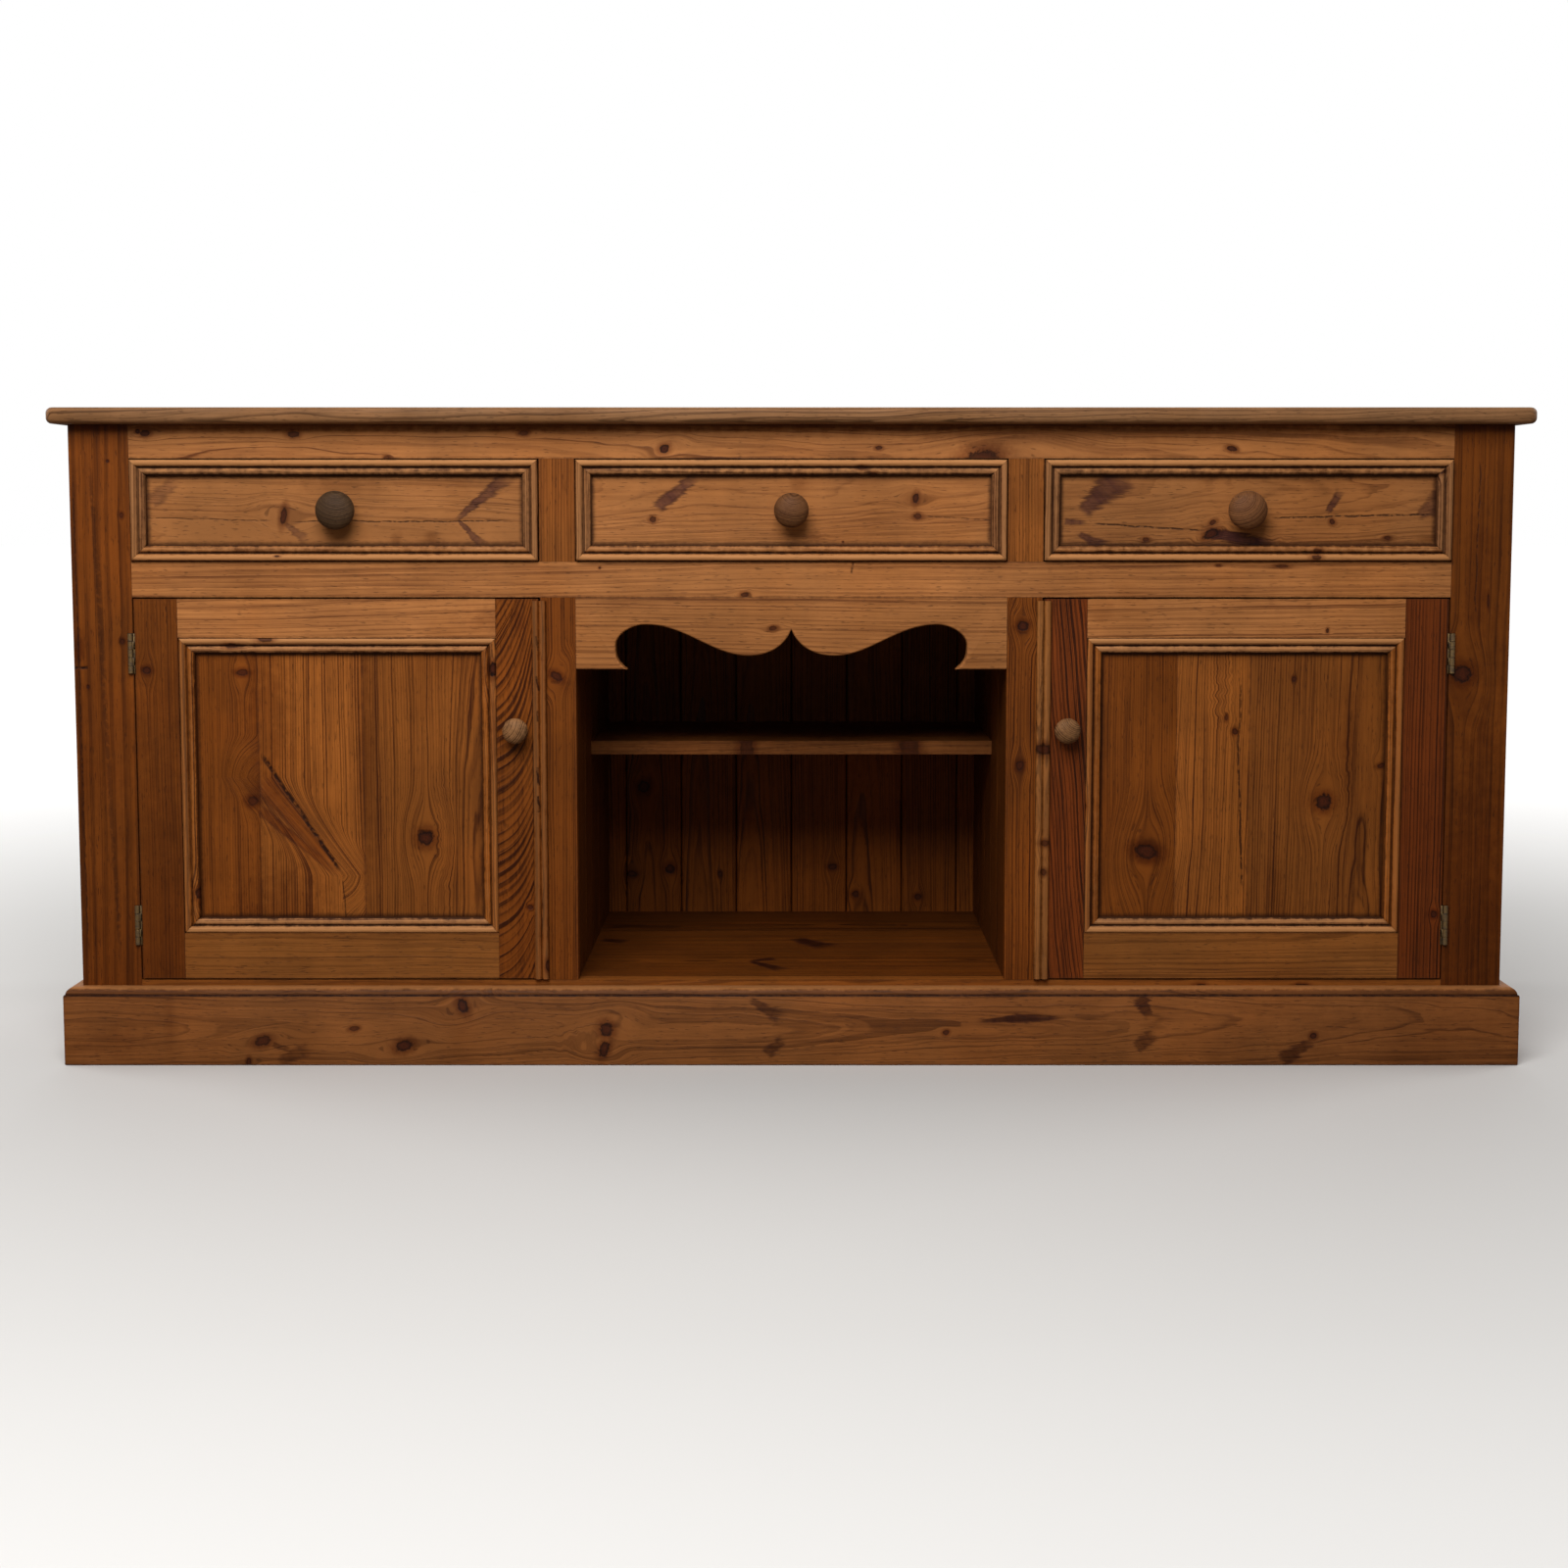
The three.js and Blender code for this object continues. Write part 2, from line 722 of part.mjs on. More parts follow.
// Drawers, drawn about the middle of their opening, with z zero on its floor
function drawer(side, openingWidth, knobDiameter, knobX) {
  const named = (word) => [side, "drawer", word].join("_");
  const half = openingWidth / 2;
  const frontX = [-half + drawerGap, half - drawerGap];
  const frontY = [drawerFrontRecess, drawerFrontRecess + drawerFrontThickness];
  const frontZ = [drawerGap, drawerOpeningHeight - drawerGap];
  const boxHalf = half - drawerSideClearance;
  const lapY = frontY[1] - drawerLapDepth;
  const boxBack = interiorBack - drawerBackClearance;
  const sideZ = [drawerRunClearance, drawerOpeningHeight - drawerTopClearance];
  const bottomZ = [sideZ[0] + drawerBottomRise, sideZ[0] + drawerBottomRise + drawerBottomThickness];

  const sideBoard = {
    x: [boxHalf - drawerSideThickness, boxHalf],
    y: [lapY + fit, boxBack],
    z: sideZ,
  };
  const backBoard = {
    x: [-boxHalf + overrun, boxHalf - overrun],
    y: [boxBack - drawerSideThickness, boxBack],
    z: [bottomZ[0], sideZ[1] - drawerBackDrop],
  };
  const bottom = {
    x: [-boxHalf + drawerSideThickness - overrun, boxHalf - drawerSideThickness + overrun],
    y: [frontY[1] - drawerBottomGroove + fit, boxBack - overrun],
    z: bottomZ,
  };
  const lap = {
    x: [boxHalf - drawerSideThickness - fit, half],
    y: [lapY, frontY[1] + overrun],
    z: widened(frontZ, overrun),
  };
  const knobZ = middleOf(frontZ);
  const bore = rod(drawerKnobSpigot / 2 + fit, "y", [knobX, knobZ], widened(frontY, overrun), knobSides);
  const laps = [lap, mirrored(lap), grown(bottom, fit)].map(block);

  const group = new THREE.Group();
  group.add(
    piece(named("front"), cut(block({ x: frontX, y: frontY, z: frontZ }), [...laps, bore]), honeyPine),
    piece(named("box"), joined([sideBoard, mirrored(sideBoard), backBoard, bottom].map(block)), rawPine),
    mouldingRing(named("moulding"), frontX, frontZ, frontY[0] - fit, drawerMouldingHeight),
    knob(
      named("knob"),
      knobDiameter,
      drawerKnobProjection,
      drawerKnobSpigot,
      drawerFrontThickness,
      knobX,
      frontY[0] - fit,
      knobZ,
    ),
  );
  group.position.z = drawerFloor;
  return group;
}

// Doors, drawn on the right in the frame of the whole object
function door(side) {
  const named = (word) => [side, "door", word].join("_");
  const x = [muntinOuter + doorGap, stileInner - doorGap];
  const y = [-doorProud, doorThickness - doorProud];
  const z = [floorHeight + doorGap, middleRailBottom - doorGap];
  const inner = {
    x: widened(x, -doorStileWidth),
    z: [z[0] + doorBottomRailHeight, z[1] - doorTopRailHeight],
  };
  const panel = {
    x: widened(inner.x, panelGrooveDepth - fit),
    y: [panelRecess, panelRecess + panelThickness],
    z: widened(inner.z, panelGrooveDepth - fit),
  };
  const groove = block(grown(panel, fit));
  const topRailRange = [inner.z[1], z[1]];
  const bottomRailRange = [z[0], inner.z[0]];
  const tenonX = widened(inner.x, doorTenonLength);
  const pastGroove = panelGrooveDepth + fit;
  const tenons = [
    { x: tenonX, y: panel.y, z: [inner.z[1] + pastGroove, z[1] - tenonShoulder] },
    { x: tenonX, y: panel.y, z: [z[0] + tenonShoulder, inner.z[0] - pastGroove] },
  ];
  const mortises = tenons.map((box) => block(grown(box, fit)));
  const gains = hingeHeights.map(([, height]) =>
    block({
      x: [x[1] - doorLeafSink - fit, x[1] + overrun],
      y: [-doorProud - overrun, hingeLeafDepth + fit],
      z: widened(centred(height, hingeHeight), fit),
    }),
  );

  const stile = (word, range, cutters, material) =>
    piece(named(word), cut(block({ x: range, y, z }), cutters), material);
  const rail = (word, range, tenon) => {
    const body = cut(block({ x: widened(inner.x, -fit), y, z: range }), [groove]);
    return piece(named(word), joined([body, block(tenon)]), honeyPine);
  };

  const knobX = x[0] + doorKnobInset;
  const knobZ = middleRailBottom - doorKnobDrop;
  const knobBore = rod(doorKnobSpigot / 2 + fit, "y", [knobX, knobZ], widened(y, overrun), knobSides);
  const stripEdge = muntinOuter - closingStripLap;
  const stripFace = -doorProud - fit;
  const stripZ = [z[0], z[1] - closingStripDrop];
  const stripOutline = closingStripShares.map(([across, up]) => [
    stripEdge + across * closingStripWidth,
    stripFace - up * closingStripThickness,
  ]);
  const closingX = [x[0], inner.x[0]];
  const hingeX = [inner.x[1], x[1]];

  const pieces = [
    stile("hinge_stile", hingeX, [groove, ...mortises, ...gains], brownPine),
    stile("closing_stile", closingX, [groove, ...mortises, knobBore], redPine),
    rail("top_rail", topRailRange, tenons[0]),
    rail("bottom_rail", bottomRailRange, tenons[1]),
    piece(named("panel"), block(panel), brownPine),
    mouldingRing(
      named("moulding"),
      widened(inner.x, -fit),
      widened(inner.z, -fit),
      panel.y[0] - fit,
      doorMouldingHeight,
    ),
    piece(named("closing_strip"), raised(stripOutline.reverse(), stripZ), palePine),
    knob(
      named("knob"),
      doorKnobDiameter,
      doorKnobProjection,
      doorKnobSpigot,
      doorThickness,
      knobX,
      y[0] - fit,
      knobZ,
    ),
  ];
  for (const [word, height] of hingeHeights) {
    const leaf = doorLeaf([side, word, "hinge_door_leaf"].join("_"));
    leaf.position.add(new THREE.Vector3(hingeAxis, -hingeAxisProud, height));
    pieces.push(leaf);
  }
  return pieces;
}

function dresserBase() {
  const whole = new THREE.Group();
  whole.add(...faceRails(), apron());
  whole.add(bothSides((side) => [faceStile(side), drawerMuntin(side), doorMuntin(side)]));
  whole.add(bothSides(frameLeaves));
  whole.add(bottomBoard(), drawerDeck(), backBoarding(), topBoard(), plinthFront());
  whole.add(bothSides((side) => [endPanel(side), partition(side), plinthSide(side)]));
  whole.add(piece("centre_shelf", block(centreShelfBox), brownPine));
  whole.add(bothSides((side) => [piece(side + "_cupboard_shelf", block(cupboardShelfBox), rawPine)]));
  whole.add(bothSides(door));

  const sideCentre = (muntinOuter + stileInner) / 2;
  for (const [word, sign] of sides) {
    const one = drawer(word, sideOpeningWidth, drawerKnobDiameter, -sign * drawerKnobShift);
    one.position.x = sign * sideCentre;
    whole.add(one);
  }
  whole.add(drawer("centre", centreOpeningWidth, centreKnobDiameter, 0));

  const knobReach = drawerKnobProjection + fit - drawerFrontRecess;
  const doorKnobReach = doorKnobProjection + fit + doorProud;
  const frontReach = Math.max(topFrontOverhang, knobReach, doorKnobReach);
  whole.position.y = (frontReach - carcassDepth) / 2;
  const root = new THREE.Group();
  root.add(whole);
  return root;
}

export default dresserBase();
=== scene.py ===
import json
import math
import random
from collections import namedtuple

import bmesh
import bpy
from bpy.props import FloatProperty, FloatVectorProperty, IntProperty, PointerProperty
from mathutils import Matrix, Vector, noise
from mathutils.geometry import interpolate_bezier

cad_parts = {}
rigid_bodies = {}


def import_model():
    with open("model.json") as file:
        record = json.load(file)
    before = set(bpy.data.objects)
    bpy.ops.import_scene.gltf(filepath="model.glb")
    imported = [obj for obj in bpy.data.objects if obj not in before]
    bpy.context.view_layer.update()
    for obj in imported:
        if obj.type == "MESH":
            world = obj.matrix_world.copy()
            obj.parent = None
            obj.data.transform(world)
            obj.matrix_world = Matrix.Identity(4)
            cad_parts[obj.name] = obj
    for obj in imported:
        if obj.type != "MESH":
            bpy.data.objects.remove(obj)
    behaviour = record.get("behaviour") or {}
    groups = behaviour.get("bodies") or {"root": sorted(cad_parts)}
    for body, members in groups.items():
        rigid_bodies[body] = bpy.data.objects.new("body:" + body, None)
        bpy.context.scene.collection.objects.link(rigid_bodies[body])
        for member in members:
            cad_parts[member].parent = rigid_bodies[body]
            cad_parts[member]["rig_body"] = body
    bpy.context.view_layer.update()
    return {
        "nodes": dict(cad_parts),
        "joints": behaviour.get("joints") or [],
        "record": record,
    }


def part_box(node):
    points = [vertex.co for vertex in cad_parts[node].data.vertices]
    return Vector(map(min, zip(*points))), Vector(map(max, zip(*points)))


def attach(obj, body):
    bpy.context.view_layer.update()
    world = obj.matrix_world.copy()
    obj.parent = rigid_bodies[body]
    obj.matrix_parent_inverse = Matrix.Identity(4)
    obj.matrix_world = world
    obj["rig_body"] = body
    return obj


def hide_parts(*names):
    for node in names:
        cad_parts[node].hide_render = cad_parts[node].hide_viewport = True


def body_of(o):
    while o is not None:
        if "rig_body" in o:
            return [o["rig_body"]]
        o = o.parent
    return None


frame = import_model()

bl_info = {
    "name": "Pine dresser base",
    "version": (1, 0, 0),
    "blender": (4, 5, 0),
    "location": "3D View > Sidebar > Dresser",
    "description": "Dresses the solids of a pine dresser base: grain, knots, mouldings, knobs and hinges",
    "category": "Object",
}

MM = 0.001
SIDES = (("left", -1), ("right", 1))


def paint(red, green, blue):
    """A colour as the eye sees it, 0 to 255, turned into the linear light that shaders use."""
    return tuple(((c / 255 + 0.055) / 1.055) ** 2.4 if c > 10 else c / 255 / 12.92 for c in (red, green, blue))


# How boards were cut. Lengths are in millimetres.
# kind: the pine it is; tone: how light; ring: width of a year's growth; show: how strongly the rings show;
# wander: how far they stray; pith: from the middle of the board to the heart of the tree, across and in
# depth; lean: how much the heart moves across and in depth for each length along the board.
Cut = namedtuple(
    "Cut",
    "kind tone ring show wander pith lean",
    defaults=("honey", 1.0, 3.0, 0.6, 5.0, None, None),
)

# Marks on a board's face. Their places are from the middle of the dresser, right and up (or back on a level
# face), in millimetres.
# A round knot: half its length and half its width, its turn in degrees, how dark it is and how far the grain
# bends round it.
Knot = namedtuple("Knot", "right up long wide turn dark bend", defaults=(6, 6, 0, 0.9, 1.0))
# A branch that lies along the face, from one end to the other, and half its width at each.
# What it leaves of the wood's colour is in its last value.
PLUM = (0.2, 0.16, 0.42, 1.0)
RESIN = (0.66, 0.52, 0.4, 1.0)
BARK = (0.2, 0.14, 0.14, 1.0)
Spike = namedtuple("Spike", "right up far_right far_up start end dark bend leaves", defaults=(0.8, 0.0, PLUM))
Crack = namedtuple("Crack", "right up far_right far_up width dark", defaults=(0.7, 0.8))
# A dark patch: most are stains, and those noted in the marks are painted shade.
DarkPatch = namedtuple("DarkPatch", "right up long wide dark", defaults=(0.4,))
# Wild grain: half its length and half its width, and how far the rings stray there.
Curl = namedtuple("Curl", "right up long wide reach", defaults=(4,))

BOARDS = {
    "top_face_rail": Cut("honey", 0.98, 3.4, 0.8, 6, (-24, 54), (0.004, 0.012)),
    "middle_face_rail": Cut("honey", 1.0, 3.2, 0.6, 3, (60, 90), (0.003, 0.004)),
    # Partly painted shade: toned darker than the rails above it, as the light falls off towards the bottom.
    "bottom_face_rail": Cut("hazel", 1.0, 3.2, 0.6, 4, (40, 60), (0.0, 0.004)),
    "left_face_stile": Cut("brown", 0.8, 13.0, 0.55, 4, (90, 30), (0.0, 0.01)),
    "right_face_stile": Cut("brown", 0.68, 11.0, 0.55, 5, (-84, 24), (0.004, 0.01)),
    "left_drawer_muntin": Cut("orange", 0.88, 3.0, 0.8, 2, (70, 40), (0.0, 0.0)),
    "right_drawer_muntin": Cut("orange", 0.95, 3.0, 0.8, 2, (-70, 40), (0.0, 0.0)),
    "left_door_muntin": Cut("brown", 0.75, 3.2, 0.9, 3, (-70, 40), (0.0, 0.0)),
    "right_door_muntin": Cut("brown", 0.85, 3.2, 0.95, 3, (70, 40), (0.004, 0.0)),
    "left_drawer_front": Cut("honey", 0.85, 3.2, 0.5, 6, (-30, 80), (0.01, 0.02)),
    "centre_drawer_front": Cut("honey", 0.91, 3.2, 0.5, 6, (30, 80), (0.006, 0.02)),
    "right_drawer_front": Cut("honey", 0.77, 3.4, 0.55, 7, (30, 70), (0.006, 0.03)),
    "left_door_hinge_stile": Cut("brown", 0.72, 3.0, 0.5, 3, (80, 50), (0.0, 0.0)),
    "left_door_closing_stile": Cut("brown", 0.93, 13.0, 1.15, 5),
    "left_door_top_rail": Cut("honey", 1.08, 3.0, 0.7, 2, (50, 90), (0.0, 0.01)),
    # Partly painted shade: the doors' bottom rails are toned darker than their top rails, as the light falls off
    # towards the bottom.
    "left_door_bottom_rail": Cut("amber", 0.62, 3.2, 0.5, 3, (60, 90), (0.0, 0.0)),
    "right_door_hinge_stile": Cut("red", 0.91, 3.8, 1.15, 2, (70, 24), (0.0, 0.0)),
    "right_door_closing_stile": Cut("red", 0.98, 4.6, 1.45, 9, (120, 20), (-0.1, 0.02)),
    "right_door_top_rail": Cut("honey", 1.03, 3.0, 0.7, 3, (60, 90), (0.0, 0.01)),
    # Partly painted shade, as with the left door's bottom rail.
    "right_door_bottom_rail": Cut("amber", 0.61, 4.6, 0.6, 4, (30, 40), (0.0, 0.01)),
    "scalloped_apron": Cut("honey", 0.92, 3.0, 0.7, 2, (-70, 90), (0.0, 0.01)),
    "plinth_front": Cut("tan", 0.96, 3.8, 0.55, 9, (0, 46), (0.004, 0.02)),
    "plinth_left": Cut("tan", 0.93, 3.2, 0.5, 5, (20, 60), (0.0, 0.01)),
    "plinth_right": Cut("tan", 0.93, 3.2, 0.5, 5, (-20, 60), (0.0, 0.01)),
    "centre_shelf": Cut("tan", 1.22, 3.0, 0.6, 4, (30, 50), (0.0, 0.01)),
    "left_cupboard_shelf": Cut("raw", 0.9, 3.4, 0.5, 5, (30, 50), (0.0, 0.01)),
    "right_cupboard_shelf": Cut("raw", 0.9, 3.2, 0.5, 5, (-30, 50), (0.0, 0.01)),
}

# The three boards glued into each door panel: how wide, as a share of the panel, and how cut
PANEL_BOARDS = {
    "left": (
        (0.255, Cut("brown", 0.93, 3.0, 0.6, 3, (-130, 40), (0.0, 0.004))),
        (0.315, Cut("hazel", 1.42, 3.3, 1.0, 3, (150, 40), (0.0, 0.01))),
        (0.43, Cut("hazel", 1.02, 3.2, 0.85, 8, (60, 34), (0.01, 0.02))),
    ),
    "right": (
        (0.3, Cut("brown", 0.83, 3.0, 0.65, 4, (-110, 50), (0.0, 0.01))),
        (0.22, Cut("hazel", 1.27, 3.3, 1.05, 7, (90, 40), (0.01, 0.03))),
        (0.48, Cut("hazel", 0.87, 3.2, 0.8, 6, (44, 44), (0.01, 0.01))),
    ),
}

MARKS = {
    "top_face_rail": (
        Knot(-876, 774, 3, 3),
        Knot(-798, 790, 6, 4),
        Knot(-807, 792, 3, 3),
        Knot(-615, 789, 7, 4, 0, 0.8),
        Knot(-331, 790, 6, 3, 0, 0.6),
        Knot(-500, 760, 4, 2.5, 0, 0.6, 0.4),
        Knot(-157, 771, 6.5, 5, 20, 0.95, 1.6),
        Spike(-185, 757, 40, 760, 2, 3, 0.35),
        Knot(108, 772, 4, 2.5, 0, 0.8, 0.3),
        Knot(235, 758, 22, 11, 8, 0.85, 2.2),
        DarkPatch(240, 775, 40, 14, 0.4),
        Knot(544, 771, 6, 3.5, -10),
        # Painted shadow: a darker band just under the top board, on the right half.
        DarkPatch(420, 790, 500, 9, 0.5),
        # Painted shadow: a dark band along the top edge, under the top board's overhang.
        DarkPatch(0, 801, 2500, 10, 0.95),
    ),
    "middle_face_rail": (
        Knot(-58, 590.5, 5, 3, 0, 0.8),
        Crack(77, 631, 75, 617, 1.6, 0.75),
        Knot(-238, 624, 1.5, 1.5, 0, 0.9, 0),
        Knot(609, 626, 8, 2, 0, 0.7, 0.3),
        Knot(530, 627, 3, 1.5, 0, 0.6, 0.3),
    ),
    "bottom_face_rail": (
        Knot(516, 96, 8, 4, 0, 0.8),
        Knot(644, 96, 9, 4, 0, 0.8),
    ),
    "left_face_stile": (
        Knot(-845, 756, 1.6, 1.6, 0, 1.0, 0),
        Knot(-830, 689, 2.5, 3.5, 0, 0.6, 0.4),
        Knot(-833, 533, 3, 3, 0, 0.6, 0.3),
        Knot(-877, 476, 1.6, 2.2, 0, 0.9, 0),
        Crack(-889, 760, -886, 130, 1.1, 0.7),
        Crack(-868, 775, -845, 110, 3.5, 0.45),
        Crack(-860, 660, -850, 280, 2.0, 0.35),
        Crack(-896, 500, -876, 500, 2.2, 1.0),
        DarkPatch(-888, 524, 9, 22, 0.8),
        # Painted shade: darker towards the bottom, where the light falls off.
        DarkPatch(-856, 130, 90, 420, 0.35),
        # Painted shadow: a dark band at the top, under the top board's overhang.
        DarkPatch(-856, 801, 400, 10, 0.8),
    ),
    "right_face_stile": (
        Knot(836, 492, 12, 11, 10, 0.95, 1.3),
        DarkPatch(838, 470, 26, 44, 0.45),
        Crack(852, 760, 850, 560, 1.2, 0.7),
        Knot(866, 583, 1, 8, 0, 0.8, 0),
        DarkPatch(852, 600, 20, 90, 0.5),
        # Painted shade: darker towards the bottom, where the light falls off.
        DarkPatch(850, 130, 90, 420, 0.65),
        # Painted shadow: a dark band at the top, under the top board's overhang.
        DarkPatch(856, 801, 400, 10, 0.8),
    ),
    "left_drawer_front": (
        Knot(-630, 688, 4, 11, -10, 0.85, 0.8),
        Spike(-627, 678, -602, 658, 3, 6, 0.5),
        Spike(-415, 684, -352, 737, 2.5, 9, 0.8),
        Spike(-414, 684, -384, 652, 1.5, 6, 0.75),
        Spike(-796, 704, -762, 732, 9, 8, 0.4),
        Crack(-806, 686, -640, 682, 0.8, 0.7),
        Crack(-625, 681, -345, 682, 1.0, 0.85),
        DarkPatch(-560, 725, 60, 14, 0.35),
        DarkPatch(-490, 660, 9, 9, 0.5),
        DarkPatch(-448, 662, 9, 9, 0.45),
        DarkPatch(-440, 728, 60, 10, 0.3),
    ),
    "centre_drawer_front": (
        Spike(-168, 697, -120, 736, 7, 7, 0.85),
        Knot(-172, 684, 4, 3.5, 0, 0.8, 0.4),
        Knot(154, 710, 3.5, 6.5, -8, 0.9),
        DarkPatch(156, 708, 26, 10, 0.4),
        Knot(157, 688, 5, 3.5, 0, 0.7),
        Crack(165, 688, 250, 683, 1.0, 0.6),
        Knot(64, 656, 1.2, 1.2, 0, 1.0, 0),
        Curl(34, 660, 24, 12, 5),
        DarkPatch(30, 662, 16, 9, 0.35),
        DarkPatch(8, 730, 14, 12, 0.35),
    ),
    "right_drawer_front": (
        Spike(360, 692, 412, 742, 8, 20, 0.85),
        Spike(338, 681, 366, 680, 4, 3, 0.75),
        Spike(356, 666, 392, 650, 3, 8, 0.8),
        Crack(372, 679, 516, 670, 1.3, 0.9),
        Knot(523, 680, 5, 3, 30, 0.8, 0.8),
        Spike(514, 668, 604, 651, 6, 7, 1.0, 0.4),
        Knot(521, 666, 10, 6, 25, 0.95, 0.2),
        Curl(585, 657, 40, 12, 5),
        Knot(440, 659, 4, 3, 0, 0.7, 0.5),
        Spike(664, 692, 681, 718, 3, 6, 0.85),
        Knot(671, 681, 3.5, 3, -40, 0.85, 0.5),
        Crack(590, 686, 800, 690, 1.3, 0.9),
        Knot(740, 661, 4, 2.5, 0, 0.7, 0.5),
        Spike(778, 688, 812, 712, 5, 16, 0.6),
        DarkPatch(795, 660, 18, 5, 0.5),
    ),
    "left_door_hinge_stile": (
        Knot(-803, 496.5, 5.5, 4.5, 0, 0.8),
        Crack(-778, 580, -777, 552, 1.0, 0.7),
        # Painted shade: darker towards the bottom, where the light falls off.
        DarkPatch(-790, 130, 90, 400, 0.45),
    ),
    "left_door_closing_stile": (
        Knot(-328, 198, 3.5, 3, 0, 0.7, 0.5),
        DarkPatch(-340, 560, 14, 20, 0.4),
        # Painted shade: darker towards the bottom, where the light falls off.
        DarkPatch(-345, 120, 80, 300, 0.3),
    ),
    "left_door_closing_strip": (
        Crack(-317, 540, -315, 520, 1.6, 0.7),
        Crack(-317, 490, -315, 470, 1.8, 0.8),
        Crack(-317, 447, -316, 432, 1.5, 0.7),
        Crack(-317, 376, -316, 352, 2.0, 0.9),
        Crack(-317, 340, -316, 318, 2.0, 0.9),
        Knot(-306, 124, 3, 7, 0, 0.9, 0.5),
    ),
    "right_door_hinge_stile": (Knot(808, 189, 4, 4.5, 0, 0.9, 0.4),),
    "right_door_closing_strip": (
        Knot(315, 398, 12, 7, 0, 0.9, 0.8),
        Knot(318, 280, 6, 4, 0, 0.7, 0.5),
        Knot(316, 243, 4, 4, 0, 0.7, 0.5),
        Crack(312, 540, 311, 400, 1.0, 0.6),
    ),
    "left_door_top_rail": (DarkPatch(-360, 562, 60, 20, 0.4),),
    "right_door_top_rail": (
        Knot(667, 546, 2, 3, 0, 0.9, 0.2),
        DarkPatch(382, 570, 30, 18, 0.35),
    ),
    "left_drawer_moulding_bottom": (Knot(-637, 638.5, 3, 1.2, 0, 0.9, 0.3),),
    "centre_drawer_moulding_top": (
        Knot(101, 739, 5, 3, 0, 0.8, 0.5),
        Knot(87, 748, 6, 2.5, 0, 0.5, 0.3),
    ),
    "right_drawer_moulding_bottom": (
        Knot(652, 645, 5, 3, 0, 0.7, 0.4),
        Knot(650, 637, 6, 3, 0, 0.8, 0.4),
    ),
    "right_drawer_moulding_right": (Knot(804, 744, 4, 4, 0, 0.9, 0.5),),
    "left_door_moulding_top": (
        Knot(-655, 536, 9, 4, 0, 0.8, 0.6),
        Knot(-698, 527, 9, 3, 0, 0.8, 0.4),
    ),
    "left_door_moulding_right": (
        Knot(-372, 498, 5, 9, 0, 1.0, 1.4),
        Crack(-373, 530, -372, 510, 1.2, 0.6),
        DarkPatch(-371, 420, 8, 60, 0.5),
    ),
    "left_door_moulding_left": (
        Knot(-745, 215, 5, 7, 0, 0.9),
        Knot(-741, 200, 4, 5, 0, 0.9),
    ),
    "right_door_moulding_left": (
        Knot(366, 326, 3, 10, 0, 0.9, 0.8),
        Crack(364, 350, 366, 300, 1.0, 0.7),
    ),
    "right_door_muntin": (
        Knot(288, 551.5, 7, 6, 20, 0.95),
        Knot(286, 377, 5, 6, 0, 0.7),
    ),
    "left_door_muntin": (
        Knot(-293, 489, 8, 5, -30, 0.8),
        DarkPatch(-280, 478, 14, 12, 0.35),
    ),
    "scalloped_apron": (Knot(-22.6, 549, 5, 3, 10, 0.7),),
    "plinth_front": (
        Knot(-412, 76, 6, 10, 25, 0.95, 1.2),
        Knot(-487, 25, 11, 7, 12, 0.9, 1.4),
        Knot(-664, 31, 10, 6, 15, 0.8, 1.2),
        Spike(-652, 27, -630, 20, 3, 3, 0.6, 0.0, BARK),
        Spike(-645, 4, -604, 22, 5, 9, 0.5),
        Knot(-682, 5, 3, 5, 0, 0.8),
        Knot(-549, 47, 6, 3, 10, 0.65),
        Knot(-232, 46, 8, 9, 20, 0.9, 2.0),
        Knot(-235, 21, 6, 10, -20, 0.9, 1.2),
        Spike(-52, 84, -12, 60, 4, 9, 0.7),
        Spike(-32, 14, -10, 34, 8, 5, 0.7),
        Spike(300, 60, 236, 57, 6, 1.5, 1.0, 0.0, BARK),
        Spike(276, 60, 344, 61, 6, 1.5, 1.0, 0.0, BARK),
        Curl(-270, 36, 50, 26, 7),
        Spike(436, 88, 449, 62, 10, 5, 0.9),
        Spike(432, 22, 456, 40, 8, 8, 0.7),
        Spike(615, 6, 656, 32, 10, 5, 0.8),
        Knot(655, 38, 4, 4, 0, 0.9),
        Knot(194, 42, 4, 3, 0, 0.8),
        DarkPatch(-780, 60, 9, 50, 0.3),
        DarkPatch(-860, 30, 60, 24, 0.4),
        DarkPatch(800, 30, 260, 90, 0.3),
    ),
    "left_door_panel": (
        Spike(-668, 361, -566, 236, 19, 3, 0.8, 1.0, RESIN),
        Spike(-670, 322, -571, 238, 7, 4, 0.9),
        Crack(-667, 393, -567, 240, 3.2, 0.95),
        Crack(-566, 232, -561, 165, 1.0, 0.7),
        Knot(-677, 331, 7, 6, 0, 0.6, 0.6),
        Knot(-687, 493, 7, 4, 0, 0.75, 0.8),
        Knot(-460, 284, 10, 10, 0, 0.95, 2.0),
        Curl(-436, 290, 13, 100, 5),
        DarkPatch(-535, 400, 12, 170, 0.5),
        DarkPatch(-656, 440, 34, 150, 0.6),
        DarkPatch(-640, 180, 70, 90, 0.6),
    ),
    "right_door_panel": (
        Knot(447, 267, 15, 9, -10, 0.85, 1.6),
        DarkPatch(450, 266, 28, 20, 0.5),
        Knot(668.5, 330, 10, 10, 0, 0.95, 2.0),
        Curl(695, 345, 12, 60, 6),
        Curl(540, 465, 22, 50, 6),
        Crack(563, 480, 561, 400, 1.8, 0.7),
        Crack(560, 415, 568, 218, 1.8, 0.85),
        Knot(556, 419, 3.5, 4, 0, 0.85, 0.6),
        Knot(545, 437, 2, 4, 0, 0.7, 0.4),
        Knot(629, 485, 2.5, 3, 0, 0.7, 0.5),
